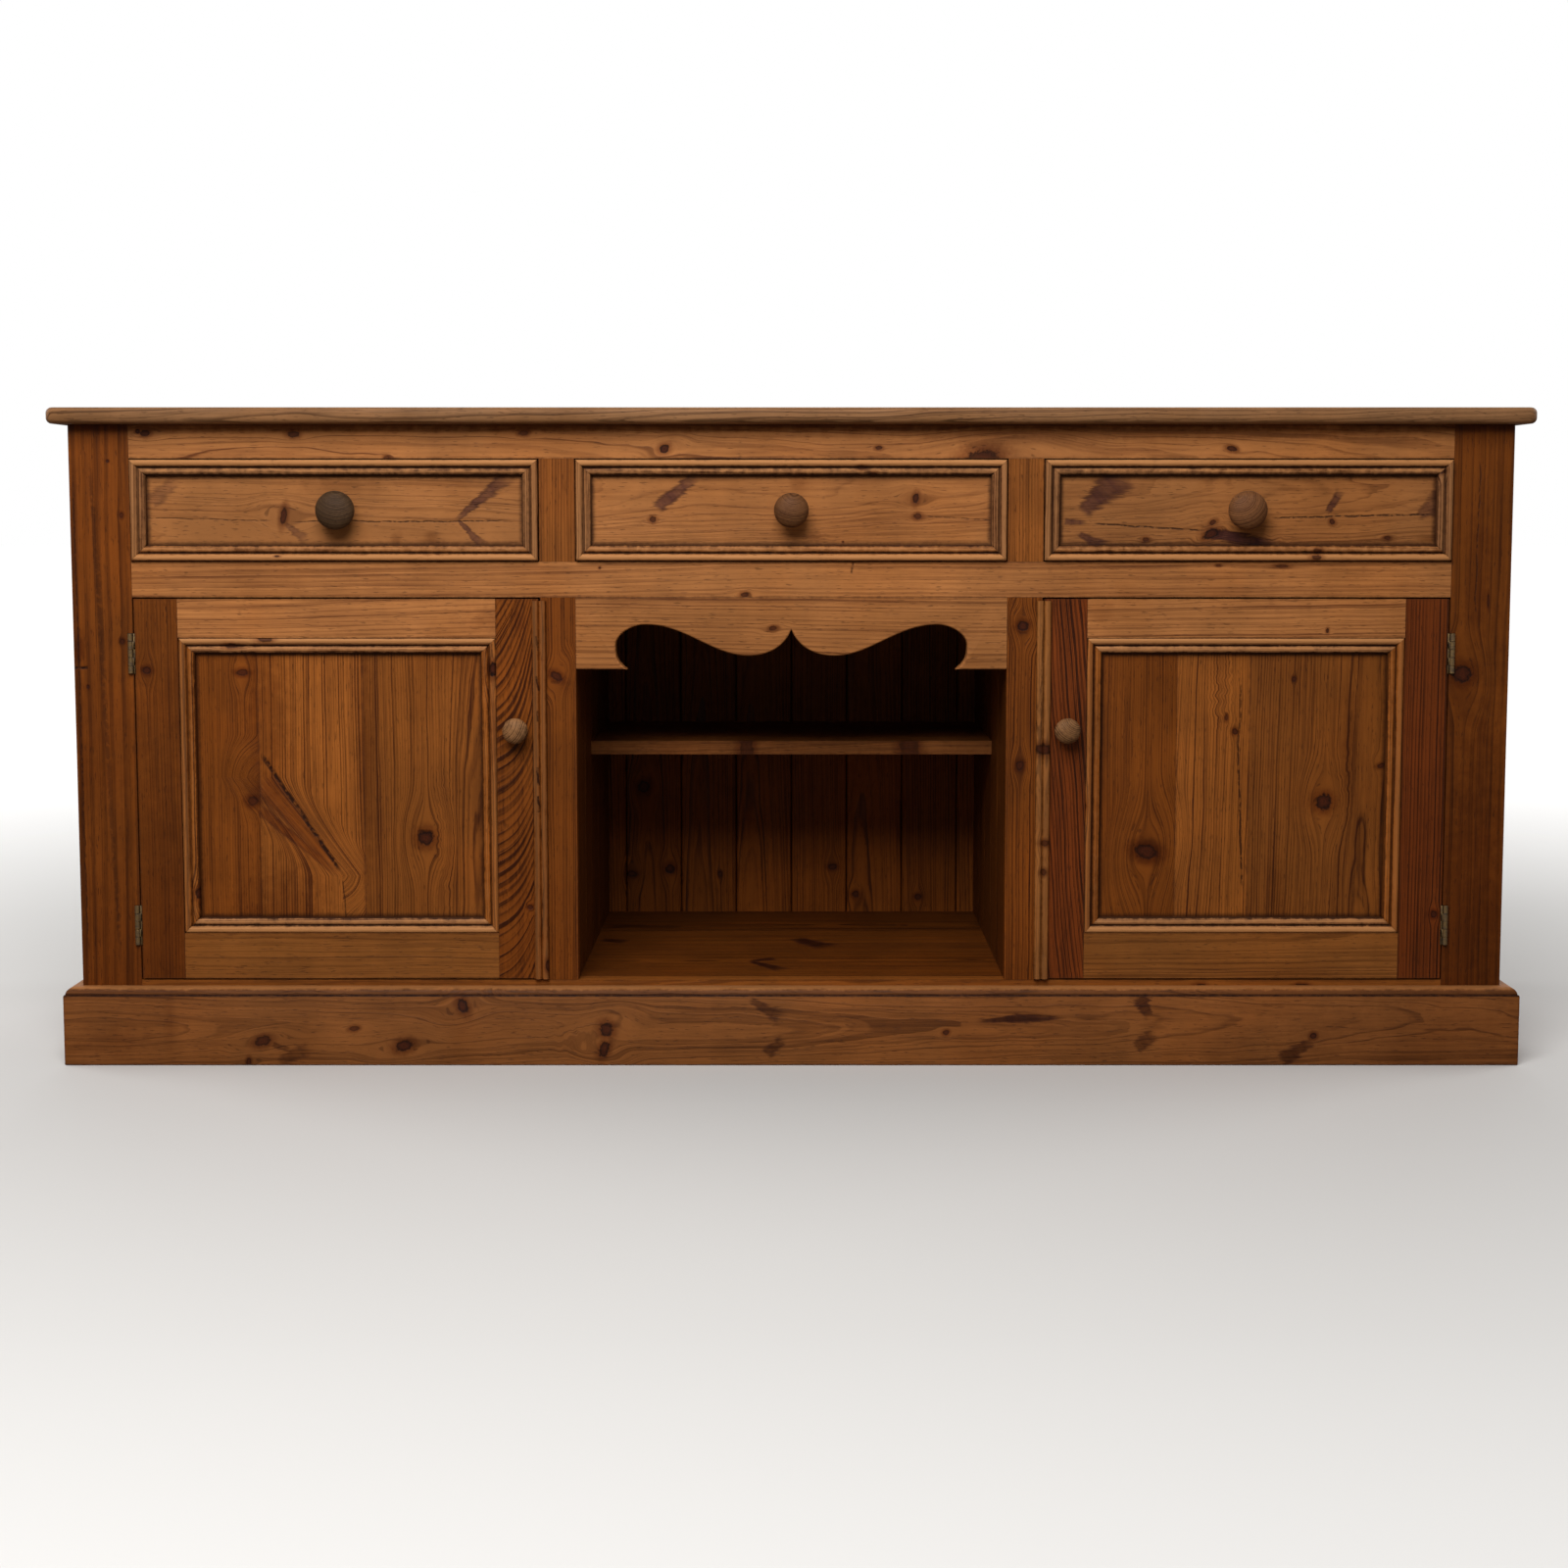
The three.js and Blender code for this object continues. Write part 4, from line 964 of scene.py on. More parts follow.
    def material(self):
        shader = self.shader
        colour, height = self.wood()
        if self.proud or self.sunk or self.quirk:
            colour = self.soiled_and_shaded(colour)
        if self.marks_of(DarkPatch):
            colour = self.darkened_patches(colour)
        if self.marks_of(Spike):
            colour, height = self.spiked(colour, height)
        if self.marks_of(Crack):
            colour, height = self.cracked(colour, height)
        if self.marks_of(Knot):
            colour, height = self.knotted(colour, height)
        if self.edges:
            colour = self.edged(colour)
        if self.seam:
            line = shader.step(self.seam, 0.0011, 0.0003)
            colour = shader.mix(line * 0.8, colour, with_alpha(KNOT_BARK))
            height = height - line
        roughness = self.fibres * 0.2 + self.late * -0.08 + 0.42
        shader.feed(shader.surface.inputs["Specular IOR Level"], WAX_SHEEN)
        relief = bpy.context.scene.dresser_sizes.grain_relief * (2.5 if self.swept else 1)
        return shader.finish(colour, roughness, height, relief)


def pine(name, lo, hi, grain, face, cut, **more):
    return Board(name, lo, hi, grain, face, cut, **more).material()


def make_piece(name, vertices, faces, material, body, slot, replaces=(), sharp=35):
    """A mesh that rides on a body, smooth but for its sharp edges."""
    mesh = bpy.data.meshes.new(name)
    mesh.from_pydata(vertices, [], faces)
    shape = bmesh.new()
    shape.from_mesh(mesh)
    bmesh.ops.recalc_face_normals(shape, faces=shape.faces)
    shape.to_mesh(mesh)
    shape.free()
    mesh.polygons.foreach_set("use_smooth", [True] * len(mesh.polygons))
    mesh.set_sharp_from_angle(angle=math.radians(sharp))
    mesh.materials.append(material)
    made = bpy.data.objects.new(name, mesh)
    bpy.context.scene.collection.objects.link(made)
    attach(made, body)
    if replaces:
        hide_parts(*replaces)
    return made


def skin(rings, loops=False):
    """Vertices and faces of a skin over closed rings of equal count, capped unless it loops."""
    count = len(rings[0])
    vertices = [point for ring in rings for point in ring]
    spans = len(rings) if loops else len(rings) - 1
    faces = []
    for j in range(spans):
        here = j * count
        there = (j + 1) % len(rings) * count
        for i in range(count):
            after = (i + 1) % count
            faces.append((here + i, here + after, there + after, there + i))
    if not loops:
        last = (len(rings) - 1) * count
        faces.append(tuple(range(count)))
        faces.append(tuple(last + i for i in range(count)))
    return vertices, faces


def several(shapes):
    """Joins skins into one list of vertices and faces."""
    vertices, faces = [], []
    for more_vertices, more_faces in shapes:
        start = len(vertices)
        vertices.extend(more_vertices)
        faces.extend(tuple(start + i for i in face) for face in more_faces)
    return vertices, faces


def eased_rectangle(lo, hi, radius, steps=3):
    """A rectangle in a plane, its corners rounded."""
    points = []
    corners = (
        (hi[0] - radius, hi[1] - radius, 0),
        (lo[0] + radius, hi[1] - radius, 90),
        (lo[0] + radius, lo[1] + radius, 180),
        (hi[0] - radius, lo[1] + radius, 270),
    )
    for x, y, start in corners:
        for step in range(steps + 1):
            turn = math.radians(start + 90 * step / steps)
            points.append((x + radius * math.cos(turn), y + radius * math.sin(turn)))
    return points


STATION = 0.03


def plank_skin(lo, hi, axis, arris, wear=0.0):
    """A board with eased edges along one axis: its rings run from end to end."""
    along = AXES.index(axis)
    first, second = [i for i in range(3) if i != along]
    length = hi[along] - lo[along]
    count = max(1, round(length / STATION))
    stations = [(0.0, arris), (arris * 0.35, arris * 0.35), (arris, 0.0)]
    stations += [(arris + (length - 2 * arris) * i / count, 0.0) for i in range(1, count)]
    stations += [(length - place, inset) for place, inset in reversed(stations[:3])]
    rings = []
    for place, inset in stations:
        low = (lo[first] + inset, lo[second] + inset)
        high = (hi[first] - inset, hi[second] - inset)
        ring = []
        for a, b in eased_rectangle(low, high, max(arris - inset, arris * 0.3)):
            point = [0.0, 0.0, 0.0]
            point[along] = lo[along] + place
            point[first] = a
            point[second] = b
            point = Vector(point)
            ring.append(point + noise.noise_vector(point * 35) * wear)
        rings.append(ring)
    return skin(rings)


def body_of_node(node):
    """The body that a CAD node rides on."""
    return body_of(frame["nodes"][node])[0]


def slot_of_node(node):
    return next(part["material_slot"] for part in frame["record"]["subparts"] if part["node"] == node)


def stand_for(node, name, shape, material, replaces=True, sharp=35):
    """A piece that takes a CAD node's place, on its body."""
    nodes = (node,) if replaces else ()
    return make_piece(name, *shape, material, body_of_node(node), slot_of_node(node), nodes, sharp)


def ease(node, width):
    """Rubs down the sharp edges of a CAD board."""
    bevel = frame["nodes"][node].modifiers.new("Eased edges", "BEVEL")
    bevel.width = width
    bevel.segments = 2
    bevel.limit_method = "ANGLE"
    bevel.angle_limit = math.radians(40)


def dress(node, material):
    """Gives a CAD node its material in every slot."""
    for material_slot in frame["nodes"][node].material_slots:
        material_slot.material = material


def dress_board(node, grain, face, cut=None, **more):
    lo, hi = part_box(node)
    cut = cut or BOARDS[node]
    dress(node, pine(node, lo, hi, grain, face, cut, marks=MARKS.get(node, ()), **more))
    ease(node, bpy.context.scene.dresser_sizes.arris)


MOULDING_WIDTH = 0.019


def field_of(moulding):
    """The lowest and highest corners of the field inside a moulding."""
    lo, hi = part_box(moulding)
    inset = Vector((MOULDING_WIDTH, 0, MOULDING_WIDTH))
    return lo + inset, hi - inset


def curve_through(pieces, steps):
    """Points along Bezier pieces, each given by its four points."""
    points = [Vector((*pieces[0][0], 0))]
    for four in pieces:
        points += interpolate_bezier(*(Vector((*point, 0)) for point in four), steps + 1)[1:]
    return [(point.x, point.y) for point in points]


def in_axes(values, axes):
    """A point from its values along the named axes, in the order of the axes' names."""
    point = [0.0, 0.0, 0.0]
    for value, axis in zip(values, axes):
        point[AXES.index(axis)] = value
    return Vector(point)


class DRESSER_OT_face_frame(bpy.types.Operator):
    """Grain and eased edges for the stiles, rails and muntins of the face frame."""

    bl_idname = "dresser.face_frame"
    bl_label = "Face frame"

    def execute(self, context):
        for rail in ("top", "middle", "bottom"):
            dress_board(rail + "_face_rail", "X", "Y")
        for side, _ in SIDES:
            for upright in ("face_stile", "drawer_muntin", "door_muntin"):
                dress_board(side + "_" + upright, "Z", "Y")
        return {"FINISHED"}


class DRESSER_OT_apron(bpy.types.Operator):
    """The scalloped apron, its cut edge rounded over by wear."""

    bl_idname = "dresser.apron"
    bl_label = "Apron"

    CUSP_HALF_SPAN = 0.205
    ARCH_REACH = 0.219
    ARCH_REACH_HEIGHT = 0.030
    ARCH_TOP_OFFSET = 0.181
    ARCH_TOP_HEIGHT = 0.056
    LOBE_OFFSET = 0.054
    LOBE_HEIGHT = 0.017
    CENTRE_CUSP_HEIGHT = 0.050
    STEPS = 20
    RIM_STEPS = 4
    # The rim narrows towards the tips at the foot, so the straight foot has points near them
    TIP_NARROWING = 0.25
    FOOT_POINTS = (0.002, 0.005, 0.009)

    def half_curve(self):
        """The cut edge's right half, from the middle cusp out to the foot."""
        reach_run = self.ARCH_REACH - self.ARCH_TOP_OFFSET
        lobe_run = self.ARCH_TOP_OFFSET - self.LOBE_OFFSET
        top, lobe, cusp = self.ARCH_TOP_HEIGHT, self.LOBE_HEIGHT, self.CENTRE_CUSP_HEIGHT
        reach = self.ARCH_REACH_HEIGHT
        pieces = (
            (
                (0, cusp),
                (self.LOBE_OFFSET / 9, (lobe + cusp) / 2),
                (self.LOBE_OFFSET / 2.4, lobe),
                (self.LOBE_OFFSET, lobe),
            ),
            (
                (self.LOBE_OFFSET, lobe),
                (self.LOBE_OFFSET + lobe_run / 2.9, lobe),
                (self.ARCH_TOP_OFFSET - lobe_run / 2.6, top),
                (self.ARCH_TOP_OFFSET, top),
            ),
            (
                (self.ARCH_TOP_OFFSET, top),
                (self.ARCH_TOP_OFFSET + reach_run / 2, top),
                (self.ARCH_REACH, (reach + top) / 2),
                (self.ARCH_REACH, reach),
            ),
            (
                (self.ARCH_REACH, reach),
                (self.ARCH_REACH, reach / 2),
                (self.CUSP_HALF_SPAN + reach_run / 3, reach / 3),
                (self.CUSP_HALF_SPAN, 0),
            ),
        )
        return curve_through(pieces, self.STEPS)

    def execute(self, context):
        node = "scalloped_apron"
        lo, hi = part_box(node)
        sizes = context.scene.dresser_sizes
        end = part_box("right_door_muntin")[0].x - sizes.seam
        foot = [(self.CUSP_HALF_SPAN + reach, 0) for reach in self.FOOT_POINTS] + [(end, 0)]
        half = self.half_curve() + foot
        edge = [(-x, z) for x, z in reversed(half)] + half[1:]
        cut_edge = [Vector((x, lo.z + z)) for x, z in edge]
        corners = [Vector((end, hi.z)), Vector((-end, hi.z))]
        rings = []
        for step in range(self.RIM_STEPS + 1):
            turn = math.radians(90 * step / self.RIM_STEPS)
            ring = self.moved_in(cut_edge, lo.z, sizes.rim, 1 - math.sin(turn)) + corners
            sink = sizes.rim * (1 - math.cos(turn))
            rings.append([Vector((p.x, lo.y + sink, p.y)) for p in ring])
        rings.append([Vector((p.x, hi.y, p.y)) for p in cut_edge + corners])
        material = pine(node, lo, hi, "X", "Y", BOARDS[node], marks=MARKS[node])
        stand_for(node, "apron", skin(rings), material, sharp=50)
        return {"FINISHED"}

    def moved_in(self, points, foot, rim, share):
        """The cut edge moved into the board, square to itself, and less near the sharp tips at its foot."""
        moved = []
        for i, point in enumerate(points):
            before = points[max(i - 1, 0)]
            after = points[min(i + 1, len(points) - 1)]
            run = (after - before).normalized()
            tip = Vector((math.copysign(self.CUSP_HALF_SPAN, point.x), foot))
            inset = min(rim, (point - tip).length * self.TIP_NARROWING) * share
            moved.append(point + Vector((-run.y, run.x)) * inset)
        return moved


class DRESSER_OT_plinth(bpy.types.Operator):
    """The plinth: a front and two returns with a thumb mould, mitred at the corners."""

    bl_idname = "dresser.plinth"
    bl_label = "Plinth"

    MOULD_RADIUS = 0.009
    MOULD_STEPS = 7
    QUIRK = 0.002
    FOOT_EASE = 0.0012
    WEAR = 0.0004
    STATION = 0.02

    def section(self, thickness, height, seam):
        """Out from the carcass and up."""
        shoulder = thickness - self.QUIRK
        springing = height - self.MOULD_RADIUS
        ease = self.FOOT_EASE
        points = [(seam, 0), (thickness - ease, 0), (thickness, ease), (thickness, springing - ease)]
        points += [(thickness - ease / 2, springing)]
        for step in range(self.MOULD_STEPS + 1):
            turn = math.radians(90 * step / self.MOULD_STEPS)
            out = shoulder - self.MOULD_RADIUS * (1 - math.cos(turn))
            points.append((out, springing + self.MOULD_RADIUS * math.sin(turn)))
        return points + [(seam, height)]

    def execute(self, context):
        seam = context.scene.dresser_sizes.seam
        lo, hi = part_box("plinth_front")
        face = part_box("left_face_stile")[0].y
        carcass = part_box("right_face_stile")[1].x
        section = self.section(face - lo.y, hi.z, seam)
        quirk = hi.z - self.MOULD_RADIUS
        front = self.run(section, lambda out, share: (2 * share - 1) * (carcass + out - seam / 2))
        rings = [[Vector((along, face - out, up)) for along, out, up in ring] for ring in front]
        cut = BOARDS["plinth_front"]
        material = pine("plinth_front", lo, hi, "X", "Y", cut, marks=MARKS["plinth_front"], quirk=quirk)
        stand_for("plinth_front", "front_plinth", skin(self.worn(rings)), material, sharp=40)
        for side, sign in SIDES:
            node = "plinth_" + side
            lo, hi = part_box(node)
            back = hi.y
            start = face + seam / 2

            def place(out, share, start=start, back=back):
                return (start - out) * (1 - share) + back * share

            rings = [
                [Vector((sign * (carcass + out), along, up)) for along, out, up in ring]
                for ring in self.run(section, place)
            ]
            material = pine(node, lo, hi, "Y", "X", BOARDS[node], quirk=quirk)
            stand_for(node, side + "_plinth", skin(self.worn(rings)), material, sharp=40)
        return {"FINISHED"}

    def run(self, section, place):
        """The section at even steps along a board, each point with its own start and end for the mitres."""
        length = abs(place(0, 1) - place(0, 0))
        count = max(2, round(length / self.STATION))
        return [
            [(place(out, i / count), out, up) for out, up in section]
            for i in range(count + 1)
        ]

    def worn(self, rings):
        """Rubs the mould and the upper part unevenly."""
        height = max(point.z for point in rings[0])
        for ring in rings[1:-1]:
            for point in ring:
                if 0 < point.z:
                    rub = noise.noise_vector(point * 30) * self.WEAR * (point.z / height)
                    point.z += rub.z if point.z < height else 0
                    point.y += rub.y
        return rings


class DRESSER_OT_top(bpy.types.Operator):
    """The top: three boards side by side with a rounded edge at the front and the ends."""

    bl_idname = "dresser.top"
    bl_label = "Top board"

    MEETING_SHARES = (0.0, 0.37, 0.71, 1.0)
    NOSE = 0.007
    NOSE_STEPS = 6
    CORNER = 0.012
    CORNER_STEPS = 8
    FRONT_STEPS = 60
    WEAR = 0.0005
    CUTS = (
        Cut("grey", 1.03, 3.6, 1.3, 6, (20, 60), (0.004, 0.02)),
        Cut("grey", 1.11, 3.4, 1.3, 5, (-40, 50), (0.0, 0.01)),
        Cut("grey", 1.07, 3.8, 1.4, 6, (10, 60), (0.004, 0.02)),
    )

    def outline(self, half, y, inset, front):
        """One board in plan, drawn in from its rounded edges."""
        side = half - inset
        if not front:
            return [(-side, y[1]), (-side, y[0]), (side, y[0]), (side, y[1])]
        corner = self.CORNER
        edge = y[0] + inset
        radius = max(corner - inset, 0.001)
        points = [(-side, y[1])]
        for step in range(self.CORNER_STEPS + 1):
            turn = math.radians(90 * step / self.CORNER_STEPS)
            points.append((-side + radius * (1 - math.cos(turn)), edge + radius * (1 - math.sin(turn))))
        span = side - radius
        points += [(-span + 2 * span * i / self.FRONT_STEPS, edge) for i in range(1, self.FRONT_STEPS)]
        for step in range(self.CORNER_STEPS, -1, -1):
            turn = math.radians(90 * step / self.CORNER_STEPS)
            points.append((side - radius * (1 - math.cos(turn)), edge + radius * (1 - math.sin(turn))))
        points.append((side, y[1]))
        return points

    def levels(self, lo, hi):
        """Height and inset up round the edge."""
        steps = [math.radians(90 * i / self.NOSE_STEPS) for i in range(self.NOSE_STEPS + 1)]
        lower = [(lo + self.NOSE * (1 - math.cos(t)), self.NOSE * (1 - math.sin(t))) for t in steps]
        upper = [(hi - self.NOSE * (1 - math.sin(t)), self.NOSE * (1 - math.cos(t))) for t in steps]
        return lower + upper

    def execute(self, context):
        lo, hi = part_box("top_board")
        seam = context.scene.dresser_sizes.seam / 2
        depth = hi.y - lo.y
        for i, cut in enumerate(self.CUTS):
            low_share, high_share = self.MEETING_SHARES[i : i + 2]
            y = (lo.y + depth * low_share + (seam if i else 0), lo.y + depth * high_share)
            rings = []
            for level, inset in self.levels(lo.z, hi.z):
                ring = [Vector((x, across, level)) for x, across in self.outline(hi.x, y, inset, i == 0)]
                if i == 0:
                    for point in ring:
                        if point.y < lo.y + self.CORNER:
                            point.y += abs(noise.noise(point * 14)) * self.WEAR
                rings.append(ring)
            name = "top_board_" + str(i + 1)
            material = pine(name, (lo.x, y[0], lo.z), (hi.x, y[1], hi.z), "X", "Z", cut, marks=MARKS.get(name, ()))
            stand_for("top_board", name, skin(rings), material, replaces=i == 0, sharp=50)
        return {"FINISHED"}


class DRESSER_OT_carcass(bpy.types.Operator):
    """Grain for the ends, partitions, floor, shelves and drawer deck."""

    bl_idname = "dresser.carcass"
    bl_label = "Carcass boards"

    END_BOARD = 0.115
    PARTITION_BOARDS = 5
    BOTTOM_BOARDS = 3

    def execute(self, context):
        for side, _ in SIDES:
            dress_board(side + "_end_panel", "Z", "X", Cut("hazel", 1.05, 3.6, 1.2, 6), pitch=self.END_BOARD)
            lo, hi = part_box(side + "_partition")
            pitch = (hi.y - lo.y) / self.PARTITION_BOARDS
            # Painted shade: the partitions are toned far darker than the outside boards, for the shaded inside of the
            # carcass.
            cut = Cut("brown", 0.4, 3.0, 0.8, 4)
            dress_board(side + "_partition", "Z", "X", cut, pitch=pitch, start=(lo.y - hi.y) / 2)
            dress_board(side + "_cupboard_shelf", "X", "Z")
        dress_board("centre_shelf", "X", "Z")
        lo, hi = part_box("bottom_board")
        pitch = (hi.y - lo.y) / self.BOTTOM_BOARDS
        # Painted shade: the bottom board is toned darker, for the shaded inside of the bay.
        cut = Cut("brown", 0.52, 3.2, 1.2, 6)
        dress_board("bottom_board", "X", "Z", cut, pitch=pitch, start=(lo.y - hi.y) / 2)
        # Painted shade: the drawer deck is toned darker, for the shaded inside of the carcass.
        dress_board("drawer_deck", "X", "Z", Cut("brown", 0.55, 3.4, 0.6, 5))
        return {"FINISHED"}


class DRESSER_OT_back(bpy.types.Operator):
    """The back: tongued and grooved boards with a vee at each joint, and their nails."""

    bl_idname = "dresser.back"
    bl_label = "Back boards"

    PITCH = 0.081
    VEE = 0.002
    TONGUE = 0.004
    TONGUE_REACH = 0.005
    NAIL_RADIUS = 0.0022
    NAIL_HEIGHT = 0.0006
    NAIL_SIDES = 10
    NAIL_INSET = 0.02

    def execute(self, context):
        node = "back_boarding"
        lo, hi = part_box(node)
        seam = context.scene.dresser_sizes.seam
        last = math.floor((hi.x - self.VEE) / self.PITCH)
        joints = [lo.x] + [i * self.PITCH for i in range(-last, last + 1)] + [hi.x]
        boards = []
        for left, right in zip(joints, joints[1:]):
            section = self.section(left, right, lo.y, hi.y, seam, left > lo.x, right < hi.x)
            boards.append(skin([[Vector((x, y, z)) for x, y in section] for z in (lo.z, hi.z)]))
        cut = Cut("brown", 0.82, 3.2, 0.8, 4)
        material = pine(
            node, lo, hi, "Z", "Y", cut, marks=MARKS[node], pitch=self.PITCH, start=0.0
        )
        stand_for(node, "back_boards", several(boards), material)
        heights = (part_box("bottom_board")[0].z + self.NAIL_INSET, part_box("drawer_deck")[0].z, hi.z - self.NAIL_INSET)
        nails = [
            self.nail((left + right) / 2 + shift, hi.y, z)
            for left, right in zip(joints, joints[1:])
            for shift in (-self.NAIL_INSET, self.NAIL_INSET)
            for z in heights
            if right - left > 2 * self.NAIL_INSET
        ]
        iron = metal("Nail iron", paint(70, 58, 50), paint(104, 66, 44), 0.6)
        make_piece("back_nails", *several(nails), iron, body_of_node(node), slot_of_node(node))
        return {"FINISHED"}

    def section(self, left, right, front, back, seam, grooved, tongued):
        """One board in plan: a vee at each joint on the inner face, a groove at its left, a tongue at its right."""
        middle = (front + back) / 2
        half = self.TONGUE / 2
        reach = self.TONGUE_REACH
        vee = self.VEE
        low = left + (seam / 2 if grooved else 0)
        high = right - (seam / 2 if tongued else 0)
        points = [(low, front), (high, front)]
        if grooved:
            points = [(low, front + vee), (low + vee, front), (high, front)]
        if tongued:
            points[-1:] = [(high - vee, front), (high, front + vee)]
            points += [(high, middle - half), (high + reach, middle - half)]
            points += [(high + reach, middle + half), (high, middle + half)]
        points += [(high, back), (low, back)]
        if grooved:
            slack = half + seam
            deep = low + reach + seam
            points += [(low, middle + slack), (deep, middle + slack), (deep, middle - slack), (low, middle - slack)]
        return points

    def nail(self, x, y, z):
        rings = []
        for out, share in ((0.0, 1.0), (self.NAIL_HEIGHT / 2, 1.0), (self.NAIL_HEIGHT, 0.6)):
            radius = self.NAIL_RADIUS * share
            turns = [2 * math.pi * i / self.NAIL_SIDES for i in range(self.NAIL_SIDES)]
            rings.append([Vector((x + radius * math.cos(t), y + out, z + radius * math.sin(t))) for t in turns])
        return skin(rings)


MOULDING_PIECES = (
    ((0.0, 0.0), (0.0, 0.25), (0.0, 0.5), (0.0, 0.7)),
    ((0.0, 0.7), (0.0, 1.08), (0.4, 1.12), (0.44, 0.62)),
    ((0.44, 0.62), (0.45, 0.48), (0.52, 0.44), (0.53, 0.5)),
    ((0.53, 0.5), (0.58, 0.88), (0.86, 0.9), (1.0, 0.46)),
    ((1.0, 0.46), (1.0, 0.3), (1.0, 0.15), (1.0, 0.0)),
)


class DRESSER_OT_mouldings(bpy.types.Operator):
    """The mouldings round the drawers and in the doors: four mitred lengths each, worn by weather and hands."""

    bl_idname = "dresser.mouldings"
    bl_label = "Mouldings"

    CURVE_STEPS = 5
    STATION = 0.004
    CRACK = 0.0006
    MITRE = 0.0002
    # How worn the crests are and how dirty the hollows, on level lengths and on upright ones: wear with a painted
    # highlight on the crests and dirt with painted shade in the hollows, both stronger on the level lengths
    LEVEL_WEAR_AND_PAINTED_LIGHT = (0.9, 0.92)
    UPRIGHT_WEAR_AND_PAINTED_LIGHT = {"drawer": (0.28, 0.62), "door": (0.2, 0.7)}
    DRAWER_CUTS = {
        "top": Cut("pale", 0.64, 2.6, 0.9, 3),
        "bottom": Cut("honey", 0.77, 2.6, 1.1, 3),
        "left": Cut("pale", 0.7, 3.2, 1.5, 6),
        "right": Cut("pale", 0.76, 3.2, 1.5, 6),
    }
    DOOR_CUTS = {
        "top": Cut("pale", 0.98, 2.6, 0.8, 3),
        "bottom": Cut("pale", 1.0, 2.6, 0.9, 3),
        "left": Cut("hazel", 1.32, 3.4, 1.5, 6),
        "right": Cut("hazel", 1.36, 3.4, 1.5, 6),
    }

    def execute(self, context):
        profile = curve_through(MOULDING_PIECES, self.CURVE_STEPS)
        drawers = ("drawer", ("left", "centre", "right"), self.DRAWER_CUTS)
        doors = ("door", ("left", "right"), self.DOOR_CUTS)
        for family, sides, cuts in (drawers, doors):
            for side in sides:
                for word, cut in cuts.items():
                    self.length(context, side + "_" + family + "_moulding", word, cut, profile)
        return {"FINISHED"}

    def length(self, context, node, word, cut, profile):
        lo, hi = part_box(node)
        axis = "X" if word in ("top", "bottom") else "Z"
        worn = context.scene.dresser_sizes.erosion
        across_axis = "Z" if axis == "X" else "X"
        along_range = (lo.x, hi.x) if axis == "X" else (lo.z, hi.z)
        near, inward = {
            "top": (hi.z, -1),
            "bottom": (lo.z, 1),
            "left": (lo.x, 1),
            "right": (hi.x, -1),
        }[word]
        run = along_range[1] - along_range[0]
        count = round(run / self.STATION)
        height = hi.y - lo.y
        seed = Vector((len(node), len(word), 0)) * 3.7
        rings = []
        for i in range(count + 1):
            share = i / count
            ring = []
            for across, up in profile:
                skew = across * MOULDING_WIDTH + self.MITRE
                along = along_range[0] + skew + (run - 2 * skew) * share
                place = near + inward * across * MOULDING_WIDTH
                spot = Vector((along * 26, place * 260, height)) + seed
                rub = max(0.0, noise.noise(spot)) ** 1.5 * worn * 1.6 * up
                gap = max(0.0, noise.noise(Vector((along * 9, place * 620, 2.0)) + seed) - 0.35) * self.CRACK * 3 * up
                depth = hi.y - up * height + rub + gap
                ring.append(in_axes((along, depth, place), (axis, "Y", across_axis)))
            rings.append(ring)
        name = node + "_" + word
        kind = name.split("_", 1)[1]
        material = bpy.data.materials.get(kind)
        if not material:
            marks = [mark for place in MARKS if place.endswith(kind) for mark in MARKS[place]]
            wear = self.LEVEL_WEAR_AND_PAINTED_LIGHT if axis == "X" else self.UPRIGHT_WEAR_AND_PAINTED_LIGHT[node.split("_")[1]]
            proud = (hi.y, lo.y, *wear)
            material = pine(kind, lo, hi, axis, "Y", cut, marks=marks, proud=proud, edged=False)
        stand_for(node, name, skin(rings), material, replaces=word == "top", sharp=60)


